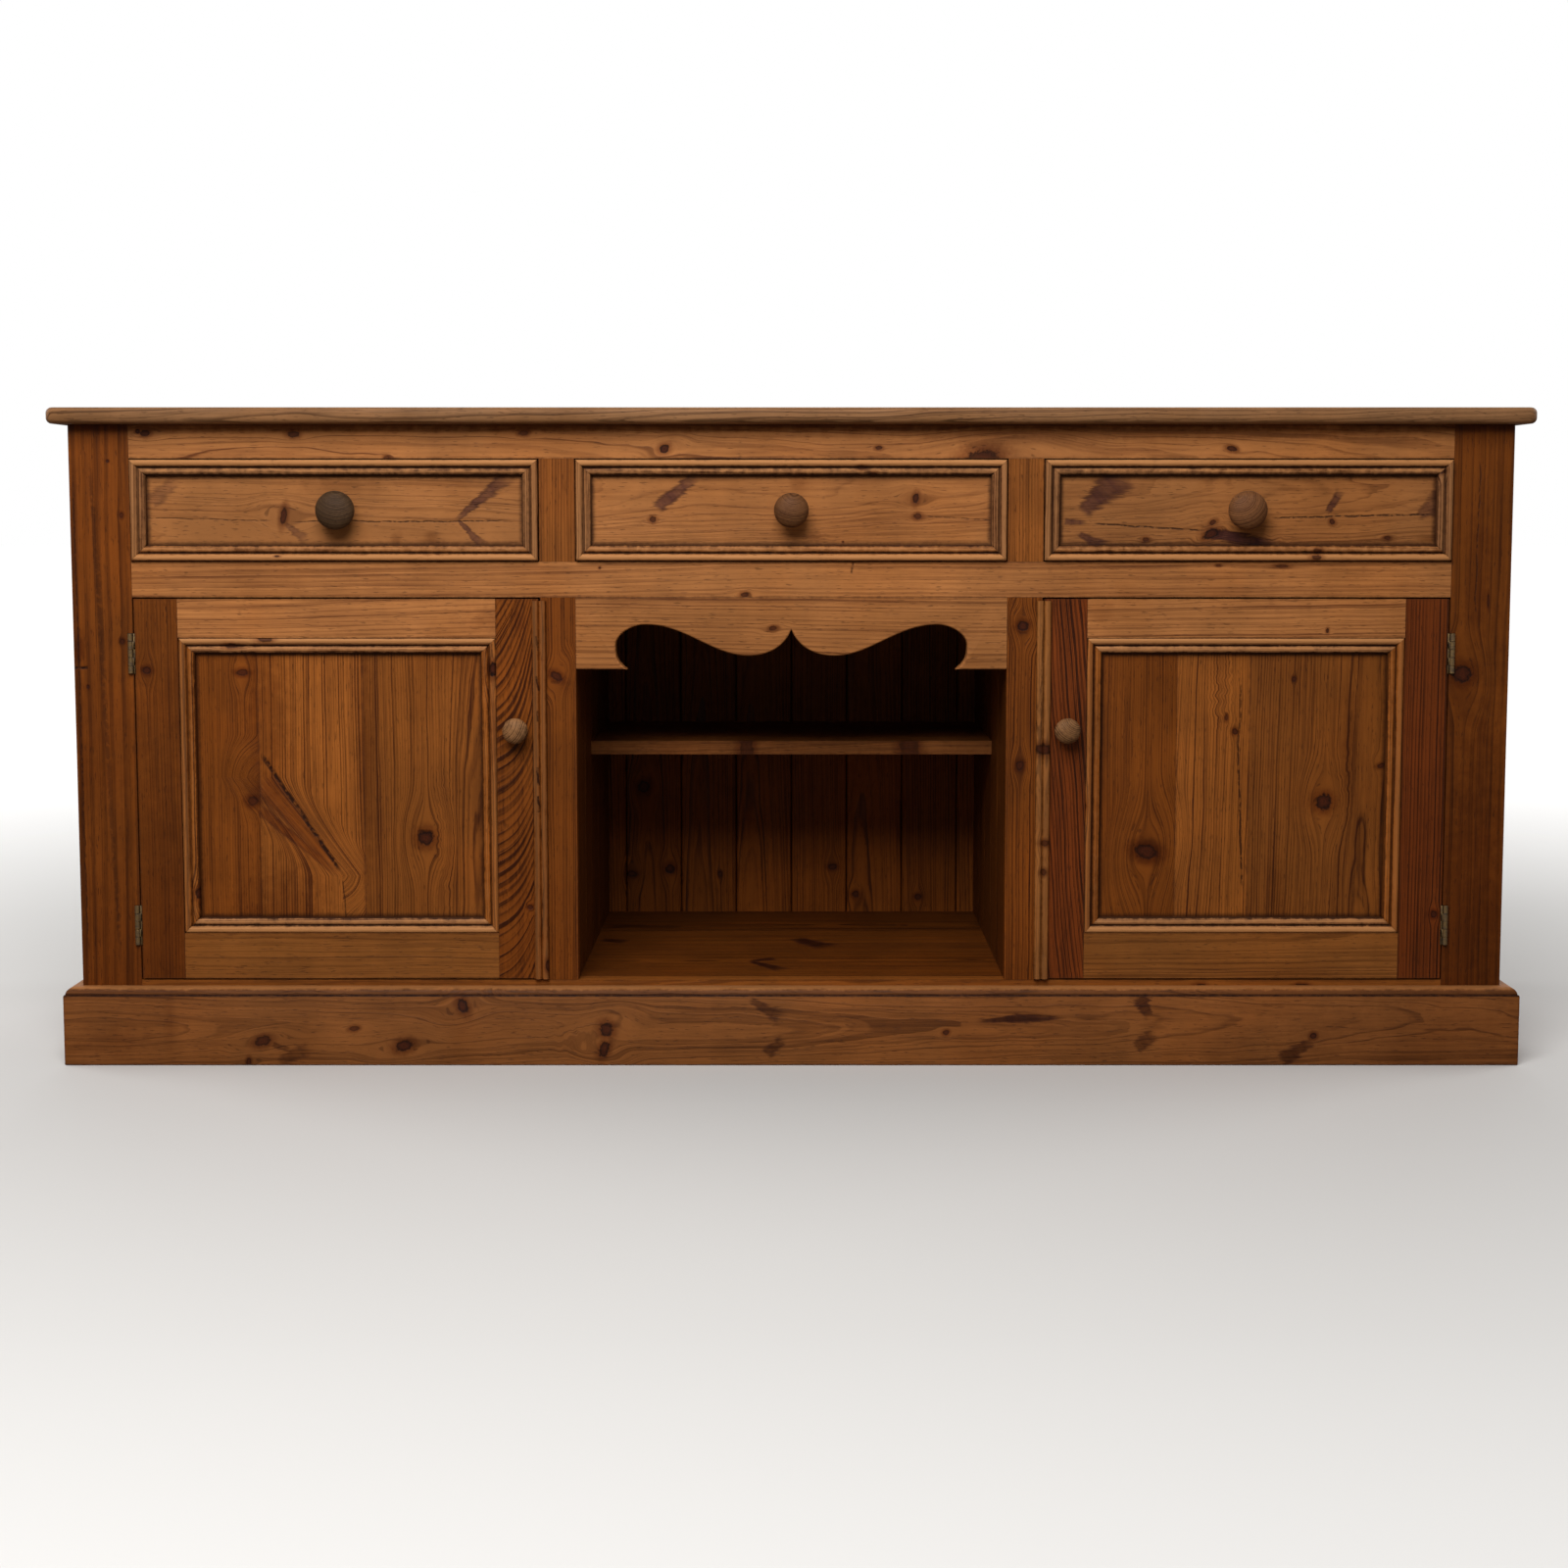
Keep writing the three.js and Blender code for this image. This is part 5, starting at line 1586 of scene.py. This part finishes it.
class DRESSER_OT_drawers(bpy.types.Operator):
    """Grain for the drawer fronts, and boxes with dovetailed corners behind them."""

    bl_idname = "dresser.drawers"
    bl_label = "Drawers"

    SIDE = 0.010
    BOTTOM_RISE = 0.008
    BOTTOM = 0.006
    BACK_DROP = 0.010
    TAILS = 3
    TAIL_SLOPE = 0.0016
    LAP = 0.011
    ARRIS = 0.0006
    WEAR = 0.0001
    SIDE_CUT = Cut("raw", 1.0, 3.0, 0.5, 4)
    BOTTOM_CUT = Cut("raw", 0.92, 3.6, 0.6, 6)

    def execute(self, context):
        for side in ("left", "centre", "right"):
            dress_board(side + "_drawer_front", "X", "Y", sunk=field_of(side + "_drawer_moulding"))
            self.box(side, context.scene.dresser_sizes.seam)
        return {"FINISHED"}

    def box(self, side, seam):
        node = side + "_drawer_box"
        lo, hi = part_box(node)
        bottom_lo = (lo.x + self.SIDE, lo.y, lo.z + self.BOTTOM_RISE)
        front_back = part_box(side + "_drawer_front")[1].y
        for word, x in (("left", (lo.x, lo.x + self.SIDE)), ("right", (hi.x - self.SIDE, hi.x))):
            outline = self.tailed_outline(lo, hi, seam)
            rings = [[Vector((place, y, z)) for y, z in outline] for place in x]
            name = node + "_" + word + "_side"
            material = self.shared("drawer_side", lo, hi, "Y", "X", self.SIDE_CUT)
            made = stand_for(node, name, skin(rings), material, replaces=word == "left")
            self.soften(made)
        back_lo = (lo.x + self.SIDE, hi.y - self.SIDE, bottom_lo[2] + self.BOTTOM)
        back_hi = (hi.x - self.SIDE, hi.y, hi.z - self.BACK_DROP)
        shapes = [plank_skin(back_lo, back_hi, "X", self.ARRIS, self.WEAR)]
        pins = []
        for x in ((lo.x, lo.x + self.SIDE), (hi.x - self.SIDE, hi.x)):
            for low, high in self.gaps(lo.z, hi.z):
                if high < back_hi[2] and low > back_lo[2]:
                    shapes.append(self.pin(x, (hi.y - self.SIDE, hi.y), low, high, seam))
                pins.append(self.pin(x, (lo.y + self.LAP, lo.y), low, high, seam))
        material = self.shared("drawer_back", back_lo, back_hi, "X", "Y", self.SIDE_CUT)
        stand_for(node, node + "_back", several(shapes), material, replaces=False)
        front = side + "_drawer_front"
        material = frame["nodes"][front].material_slots[0].material
        stand_for(front, front + "_pins", several(pins), material, replaces=False)
        floor_lo = (lo.x + self.SIDE - seam, front_back - self.BOTTOM + seam, bottom_lo[2])
        floor_hi = (hi.x - self.SIDE + seam, hi.y, bottom_lo[2] + self.BOTTOM - seam)
        material = self.shared("drawer_bottom", floor_lo, floor_hi, "X", "Z", self.BOTTOM_CUT, pitch=0.15)
        shape = plank_skin(floor_lo, floor_hi, "X", self.ARRIS, self.WEAR)
        stand_for(node, node + "_bottom", shape, material, replaces=False)

    def shared(self, name, *place, **more):
        """One pine for the same board of all three drawers."""
        return bpy.data.materials.get(name) or pine(name, *place, edged=False, **more)

    def gaps(self, low, high):
        """Heights of the pins that stand between the tails."""
        step = (high - low) / self.TAILS
        return [(low + step * i - self.LAP / 4, low + step * i + self.LAP / 4) for i in range(1, self.TAILS)]

    def tailed_outline(self, lo, hi, seam):
        """A drawer side from its side, with tails at both ends: along, then up."""
        slope = self.TAIL_SLOPE
        points = [(lo.y, lo.z)]
        gaps = self.gaps(lo.z, hi.z)
        points.append((hi.y, lo.z))
        for low, high in gaps:
            inner = hi.y - self.SIDE
            points += [(hi.y, low + slope), (inner, low - slope), (inner, high + slope), (hi.y, high - slope)]
        points += [(hi.y, hi.z), (lo.y, hi.z)]
        for low, high in reversed(gaps):
            inner = lo.y + self.LAP
            points += [(lo.y, high - slope), (inner, high + slope), (inner, low - slope), (lo.y, low + slope)]
        return points

    def pin(self, x, y, low, high, seam):
        """A pin that fills the space between two tails: y runs from its root to its tip."""
        slope = self.TAIL_SLOPE
        fit = seam * 0.5
        outline = [
            (y[0], low - slope + fit),
            (y[1], low + slope + fit),
            (y[1], high - slope - fit),
            (y[0], high + slope - fit),
        ]
        return skin([[Vector((place, a, b)) for a, b in outline] for place in (x[0] + fit, x[1] - fit)])

    def soften(self, made):
        bevel = made.modifiers.new("Eased edges", "BEVEL")
        bevel.width = self.ARRIS
        bevel.segments = 2
        bevel.limit_method = "ANGLE"


class DRESSER_OT_doors(bpy.types.Operator):
    """Grain for the doors' stiles and rails, the glued boards of their panels, and their closing strips."""

    bl_idname = "dresser.doors"
    bl_label = "Doors"

    STRIP_STEPS = 5
    STRIP_STATION = 0.004
    CHIP = 0.0011
    STRIP_PIECES = (
        ((0.0, 0.0), (0.0, 0.3), (0.0, 0.5), (0.02, 0.62)),
        ((0.02, 0.62), (0.08, 1.1), (0.4, 1.12), (0.48, 0.62)),
        ((0.48, 0.62), (0.49, 0.52), (0.51, 0.52), (0.52, 0.62)),
        ((0.52, 0.62), (0.6, 1.12), (0.92, 1.1), (0.98, 0.62)),
        ((0.98, 0.62), (1.0, 0.5), (1.0, 0.3), (1.0, 0.0)),
    )
    STRIP_CUTS = {
        "left": Cut("brown", 0.76, 3.0, 1.1, 5, (12, 10), (0.01, 0.0)),
        "right": Cut("amber", 0.64, 3.0, 0.9, 3, (20, 30), (0.0, 0.0)),
    }
    # How worn and how dirty the strips' reeds are: wear with a painted highlight on the crests, and dirt with painted
    # shade in the hollow between them
    STRIP_WEAR_AND_PAINTED_LIGHT = (0.2, 0.5)

    def execute(self, context):
        for side, sign in SIDES:
            dress_board(side + "_door_hinge_stile", "Z", "Y")
            dress_board(side + "_door_closing_stile", "Z", "Y", swept=side == "left")
            for rail in ("top_rail", "bottom_rail"):
                dress_board(side + "_door_" + rail, "X", "Y")
            self.panel(context, side)
            self.closing_strip(side, sign)
        return {"FINISHED"}

    def panel(self, context, side):
        node = side + "_door_panel"
        lo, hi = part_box(node)
        seam = context.scene.dresser_sizes.seam / 2
        sunk = field_of(side + "_door_moulding")
        left = lo.x
        for i, (share, cut) in enumerate(PANEL_BOARDS[side]):
            right = left + share * (hi.x - lo.x)
            board_lo = Vector((left + seam / 2, lo.y, lo.z))
            board_hi = Vector((right - seam / 2, hi.y, hi.z))
            near = [mark for mark in MARKS[node] if left - 0.1 < mark.right * MM < right + 0.1]
            name = node + "_" + str(i + 1)
            material = pine(name, board_lo, board_hi, "Z", "Y", cut, marks=near, sunk=sunk)
            stand_for(node, name, plank_skin(board_lo, board_hi, "Z", seam), material, replaces=i == 0)
            left = right

    def closing_strip(self, side, sign):
        node = side + "_door_closing_strip"
        lo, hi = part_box(node)
        profile = curve_through(self.STRIP_PIECES, self.STRIP_STEPS)
        count = round((hi.z - lo.z) / self.STRIP_STATION)
        rings = []
        for i in range(count + 1):
            z = lo.z + (hi.z - lo.z) * i / count
            ring = []
            for across, up in profile:
                x = lo.x + across * (hi.x - lo.x)
                rub = max(0.0, noise.noise(Vector((x * 300, sign * 9, z * 40)))) * self.CHIP * up
                depth = hi.y - min(up, 1.0) * (hi.y - lo.y) + rub
                ring.append(Vector((x, depth, z)))
            rings.append(ring)
        cut = self.STRIP_CUTS[side]
        proud = (hi.y, lo.y, *self.STRIP_WEAR_AND_PAINTED_LIGHT)
        material = pine(node, lo, hi, "Z", "Y", cut, marks=MARKS.get(node, ()), proud=proud, edged=False)
        stand_for(node, node + "_reeded", skin(rings), material, sharp=60)


class DRESSER_OT_knobs(bpy.types.Operator):
    """The turned knobs of the drawers and doors."""

    bl_idname = "dresser.knobs"
    bl_label = "Knobs"

    PIECES = (
        ((0.58, 0.0), (0.64, 0.04), (0.6, 0.11), (0.5, 0.13)),
        ((0.5, 0.13), (0.4, 0.17), (0.4, 0.28), (0.5, 0.33)),
        ((0.5, 0.33), (0.72, 0.38), (1.0, 0.44), (1.0, 0.63)),
        ((1.0, 0.63), (1.0, 0.86), (0.55, 1.0), (0.0, 1.0)),
    )
    CURVE_STEPS = 10
    SPIGOT_SHARE = 0.36
    CUTS = {
        "left_drawer_knob": (Cut("olive", 0.8, 2.0, 1.3, 2, (4, 26)), 0.036),
        "centre_drawer_knob": (Cut("turned", 0.86, 2.0, 1.3, 2, (4, 24)), 0.036),
        "right_drawer_knob": (Cut("turned", 1.0, 2.2, 1.5, 2, (-14, 20)), 0.036),
        "left_door_knob": (Cut("handled", 1.0, 2.4, 1.4, 1.5, (-26, 15)), 0.026),
        "right_door_knob": (Cut("handled", 0.78, 2.4, 1.2, 2, (14, 20)), 0.026),
    }

    def execute(self, context):
        profile = curve_through(self.PIECES, self.CURVE_STEPS)
        steps = context.scene.dresser_sizes.knob_steps
        for node, (cut, projection) in self.CUTS.items():
            lo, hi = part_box(node)
            centre = (lo + hi) / 2
            radius = (hi.x - lo.x) / 2
            foot = lo.y + projection
            spigot = radius * self.SPIGOT_SHARE
            rings = []
            outline = [(0.0, hi.y), (spigot, hi.y), (spigot, foot)]
            outline += [(across * radius, foot - out * projection) for across, out in profile]
            for reach, y in outline:
                turns = [2 * math.pi * i / steps for i in range(steps)]
                reach = max(reach, radius * 0.004)
                rings.append(
                    [Vector((centre.x + reach * math.cos(t), y, centre.z + reach * math.sin(t))) for t in turns]
                )
            material = pine(node, lo, hi, "Y", "Y", cut)
            stand_for(node, node + "_turned", skin(rings), material, sharp=50)
        return {"FINISHED"}


def metal(name, colour, stain, roughness):
    """Old metal: its colour broken by stains."""
    shader = Shader(name)
    place = shader.node("TexCoord", None, None, "Object")
    spots = shader.step(shader.noise(place, 220, 4, 0.65), 0.4, 0.68)
    scratches = shader.noise(place, 900, 2)
    mixed = shader.mix(spots, with_alpha(colour), with_alpha(stain))
    shader.feed(shader.surface.inputs["Metallic"], spots * -0.5 + 0.85)
    return shader.finish(mixed, spots * 0.25 + roughness - scratches * 0.08, scratches, 0.0001)


class DRESSER_OT_hinges(bpy.types.Operator):
    """Brass butt hinges: knuckles, pin, leaves and screws."""

    bl_idname = "dresser.hinges"
    bl_label = "Hinges"

    KNUCKLE_COUNT = 5
    KNUCKLE_RADIUS = 0.0032
    KNUCKLE_GAP = 0.0003
    PIN_RADIUS = 0.0014
    CHAMFER = 0.0004
    ROUND_STEPS = 28
    LEAF = 0.0016
    ARRIS = 0.0003
    SCREW_HEIGHT = 0.0003
    SCREW_SLOT = 0.0009
    HEAD_STEPS = 12
    # Screws in a leaf: how far up it and how far back
    SCREW_SHARES = ((0.14, 0.66), (0.5, 0.42), (0.86, 0.66))

    def execute(self, context):
        brass = metal("Aged brass", paint(118, 94, 60), paint(66, 50, 34), 0.42)
        steel = metal("Screw steel", paint(120, 112, 96), paint(70, 60, 48), 0.4)
        for side, sign in SIDES:
            for word in ("lower", "upper"):
                for on_door in (False, True):
                    self.leaf(context, side, sign, word, on_door, brass, steel)
        return {"FINISHED"}

    def leaf(self, context, side, sign, word, on_door, brass, steel):
        node = "_".join((side, word, "hinge", "door_leaf" if on_door else "frame_leaf"))
        lo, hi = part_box(node)
        sizes = context.scene.dresser_sizes
        hinge = next(joint for joint in frame["joints"] if joint["name"] == side + "_door_hinge")
        axis = Vector(hinge["pos_m"])
        if on_door:
            outer = lo.x if sign > 0 else hi.x
            face = outer + sign * self.LEAF
            plate_x = sorted((outer, face))
            front = axis.y - self.LEAF / 2
            web_x = sorted((outer, axis.x))
            web_y = (front, front + self.LEAF)
        else:
            stile_lo, stile_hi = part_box(side + "_face_stile")
            face = (stile_lo.x if sign > 0 else stile_hi.x) + sign * sizes.seam
            plate_x = sorted((face, face + sign * self.LEAF))
            front = axis.y + self.KNUCKLE_RADIUS + sizes.seam
            web_x = plate_x
            web_y = (axis.y, front + self.LEAF)
        shapes = [self.block(plate_x, (front, hi.y), (lo.z, hi.z))]
        for z in self.knuckle_heights(lo.z, hi.z, int(on_door)):
            shapes.append(self.knuckle(axis.x, axis.y, z, self.KNUCKLE_RADIUS))
            shapes.append(self.block(web_x, web_y, z))
        if not on_door:
            shapes.append(self.knuckle(axis.x, axis.y, (lo.z, hi.z), self.PIN_RADIUS))
        stand_for(node, node + "_brass", several(shapes), brass, sharp=30)
        outward = sign if on_door else -sign
        screws = []
        for up, back in self.SCREW_SHARES:
            centre = Vector((face, front + back * (hi.y - front), lo.z + up * (hi.z - lo.z)))
            screws += self.screw(centre, outward, sizes.screw / 2)
        stand_for(node, node + "_screws", several(screws), steel, replaces=False)

    def block(self, x, y, z):
        lo, hi = zip(x, y, z)
        return plank_skin(lo, hi, "Z", self.ARRIS)

    def knuckle_heights(self, low, high, parity):
        step = (high - low) / self.KNUCKLE_COUNT
        gap = self.KNUCKLE_GAP / 2
        heights = range(parity, self.KNUCKLE_COUNT, 2)
        return [(low + i * step + gap, low + (i + 1) * step - gap) for i in heights]

    def knuckle(self, x, y, z, radius):
        levels = (
            (z[0], self.CHAMFER),
            (z[0] + self.CHAMFER, 0),
            (z[1] - self.CHAMFER, 0),
            (z[1], self.CHAMFER),
        )
        rings = []
        for level, inset in levels:
            turns = [2 * math.pi * i / self.ROUND_STEPS for i in range(self.ROUND_STEPS)]
            reach = radius - inset
            rings.append([Vector((x + reach * math.cos(t), y + reach * math.sin(t), level)) for t in turns])
        return skin(rings)

    def screw(self, centre, outward, radius):
        """A countersunk head as two halves with the slot between them."""
        height = self.SCREW_HEIGHT
        levels = ((-height, 1.0), (height / 2, 1.0), (height, 0.93))
        reach = math.asin(self.SCREW_SLOT / 2 / radius)
        halves = []
        for start in (0, math.pi):
            swing = math.pi - 2 * reach
            turns = [start + reach + swing * i / self.HEAD_STEPS for i in range(self.HEAD_STEPS + 1)]
            rings = []
            for out, share in levels:
                wide = radius * share
                ring = [Vector((outward * out, wide * math.cos(t), wide * math.sin(t))) for t in turns]
                rings.append([centre + point for point in ring])
            halves.append(skin(rings))
        return halves


class DRESSER_OT_stage(bpy.types.Operator):
    """The floor, the light and the camera."""

    bl_idname = "dresser.stage"
    bl_label = "Stage"

    LENS = 49.41
    CAMERA_PLACE = (0.0, -2.89835, 0.693)
    CAMERA_DIP = 4.906
    SHIFT = (-0.0047, -0.0556)
    FLOOR_HALF = 40.0
    # Where the floor's fade to white begins and ends, and its levels there
    FADE = (0.8, 4.5, 0.0, 0.93)
    # Each lamp's place, what it is aimed at, its size and its power as a share of the key's
    LAMPS = {
        "Key lamp": ((-0.45, -2.1, 2.35), (-0.1, 0.0, 0.5), 1.7, 1.0),
        "Left lamp": ((-3.2, 0.7, 1.9), (-0.9, 0.0, 0.4), 1.5, 0.4),
        "Right lamp": ((3.2, 0.7, 1.9), (0.9, 0.0, 0.4), 1.5, 0.4),
        "Back lamp": ((0.0, 2.9, 2.3), (0.0, 0.25, 0.4), 2.2, 0.48),
    }
    WHITE_FOR = ("Is Camera Ray", "Is Glossy Ray", "Is Transmission Ray")

    def execute(self, context):
        self.place_camera()
        self.lay_floor(context.scene.dresser_stage)
        self.hang_lamps(context.scene.dresser_stage)
        self.light_sky(context.scene.dresser_stage)
        context.scene.view_settings.view_transform = "Standard"
        return {"FINISHED"}

    def place_camera(self):
        lens = bpy.data.cameras.new("Camera")
        lens.lens = self.LENS
        lens.shift_x, lens.shift_y = self.SHIFT
        lens.clip_end = 100
        camera = bpy.data.objects.new("Camera", lens)
        camera.location = self.CAMERA_PLACE
        camera.rotation_euler = (math.radians(90 - self.CAMERA_DIP), 0, 0)
        bpy.context.scene.collection.objects.link(camera)
        bpy.context.scene.camera = camera

    def lay_floor(self, settings):
        """A pale floor that keeps the dresser's shadow, and fades to white far off."""
        half = self.FLOOR_HALF
        mesh = bpy.data.meshes.new("Floor")
        corners = [(-half, -half, 0), (half, -half, 0), (half, half, 0), (-half, half, 0)]
        mesh.from_pydata(corners, [], [(0, 1, 2, 3)])
        shader = Shader("Floor")
        seen = shader.node("LightPath", None, None, "Is Camera Ray")
        place = shader.node("TexCoord", None, None, "Object")
        far = shader.node("VectorMath", {"operation": "LENGTH"}, {0: place}, "Value")
        colour = shader.mix(seen, with_alpha(settings.floor_bounce), with_alpha(settings.floor_colour))
        shader.feed(shader.surface.inputs["Base Color"], colour)
        shader.feed(shader.surface.inputs["Roughness"], 0.7)
        shader.feed(shader.surface.inputs["Emission Color"], (1, 1, 1, 1))
        glow = seen * shader.step(far, *self.FADE)
        shader.feed(shader.surface.inputs["Emission Strength"], glow)
        mesh.materials.append(shader.material)
        floor = bpy.data.objects.new("Floor", mesh)
        bpy.context.scene.collection.objects.link(floor)

    def hang_lamps(self, settings):
        """The key above the front, and fainter lamps that show the ends and the back."""
        for name, (place, aim, size, share) in self.LAMPS.items():
            lamp = bpy.data.lights.new(name, "AREA")
            lamp.energy = settings.key_power * share
            lamp.size = size
            hung = bpy.data.objects.new(name, lamp)
            hung.location = place
            hung.rotation_euler = (Vector(aim) - hung.location).to_track_quat("-Z", "Y").to_euler()
            bpy.context.scene.collection.objects.link(hung)

    def light_sky(self, settings):
        """Soft light from all round, and white wherever the eye, a reflection or glass looks past the dresser."""
        shader = Shader("Sky", "worlds")
        rays = [shader.node("LightPath", None, None, ray) for ray in self.WHITE_FOR]
        white = shader.maths("MAXIMUM", shader.maths("MAXIMUM", rays[0], rays[1]), rays[2])
        sky = shader.tree.nodes["Background"]
        shader.feed(sky.inputs["Color"], (1, 1, 1, 1))
        shader.feed(sky.inputs["Strength"], shader.step(white, 0.0, 1.0, settings.sky_strength, 1.0))
        bpy.context.scene.world = shader.material


class DRESSER_PT_panel(bpy.types.Panel):
    """Lists the steps and the settings."""

    bl_label = "Dresser base"
    bl_space_type = "VIEW_3D"
    bl_region_type = "UI"
    bl_category = "Dresser"

    def draw(self, context):
        for operator in STEPS:
            self.layout.operator(operator.bl_idname)
        for group in (context.scene.dresser_sizes, context.scene.dresser_colours, context.scene.dresser_stage):
            for key in group.__annotations__:
                self.layout.prop(group, key)


GROUPS = (
    ("dresser_sizes", DresserSizes),
    ("dresser_colours", DresserColours),
    ("dresser_stage", StageSettings),
)
STEPS = (
    DRESSER_OT_stage,
    DRESSER_OT_face_frame,
    DRESSER_OT_apron,
    DRESSER_OT_plinth,
    DRESSER_OT_top,
    DRESSER_OT_carcass,
    DRESSER_OT_back,
    DRESSER_OT_drawers,
    DRESSER_OT_doors,
    DRESSER_OT_mouldings,
    DRESSER_OT_knobs,
    DRESSER_OT_hinges,
)


def register():
    for name, group in GROUPS:
        bpy.utils.register_class(group)
        setattr(bpy.types.Scene, name, PointerProperty(type=group))
    for step in STEPS:
        bpy.utils.register_class(step)
    bpy.utils.register_class(DRESSER_PT_panel)


def unregister():
    bpy.utils.unregister_class(DRESSER_PT_panel)
    for step in reversed(STEPS):
        bpy.utils.unregister_class(step)
    for name, group in reversed(GROUPS):
        delattr(bpy.types.Scene, name)
        bpy.utils.unregister_class(group)


def main():
    register()
    for step in STEPS:
        family, action = step.bl_idname.split(".")
        getattr(getattr(bpy.ops, family), action)()


if __name__ == "__main__":
    main()
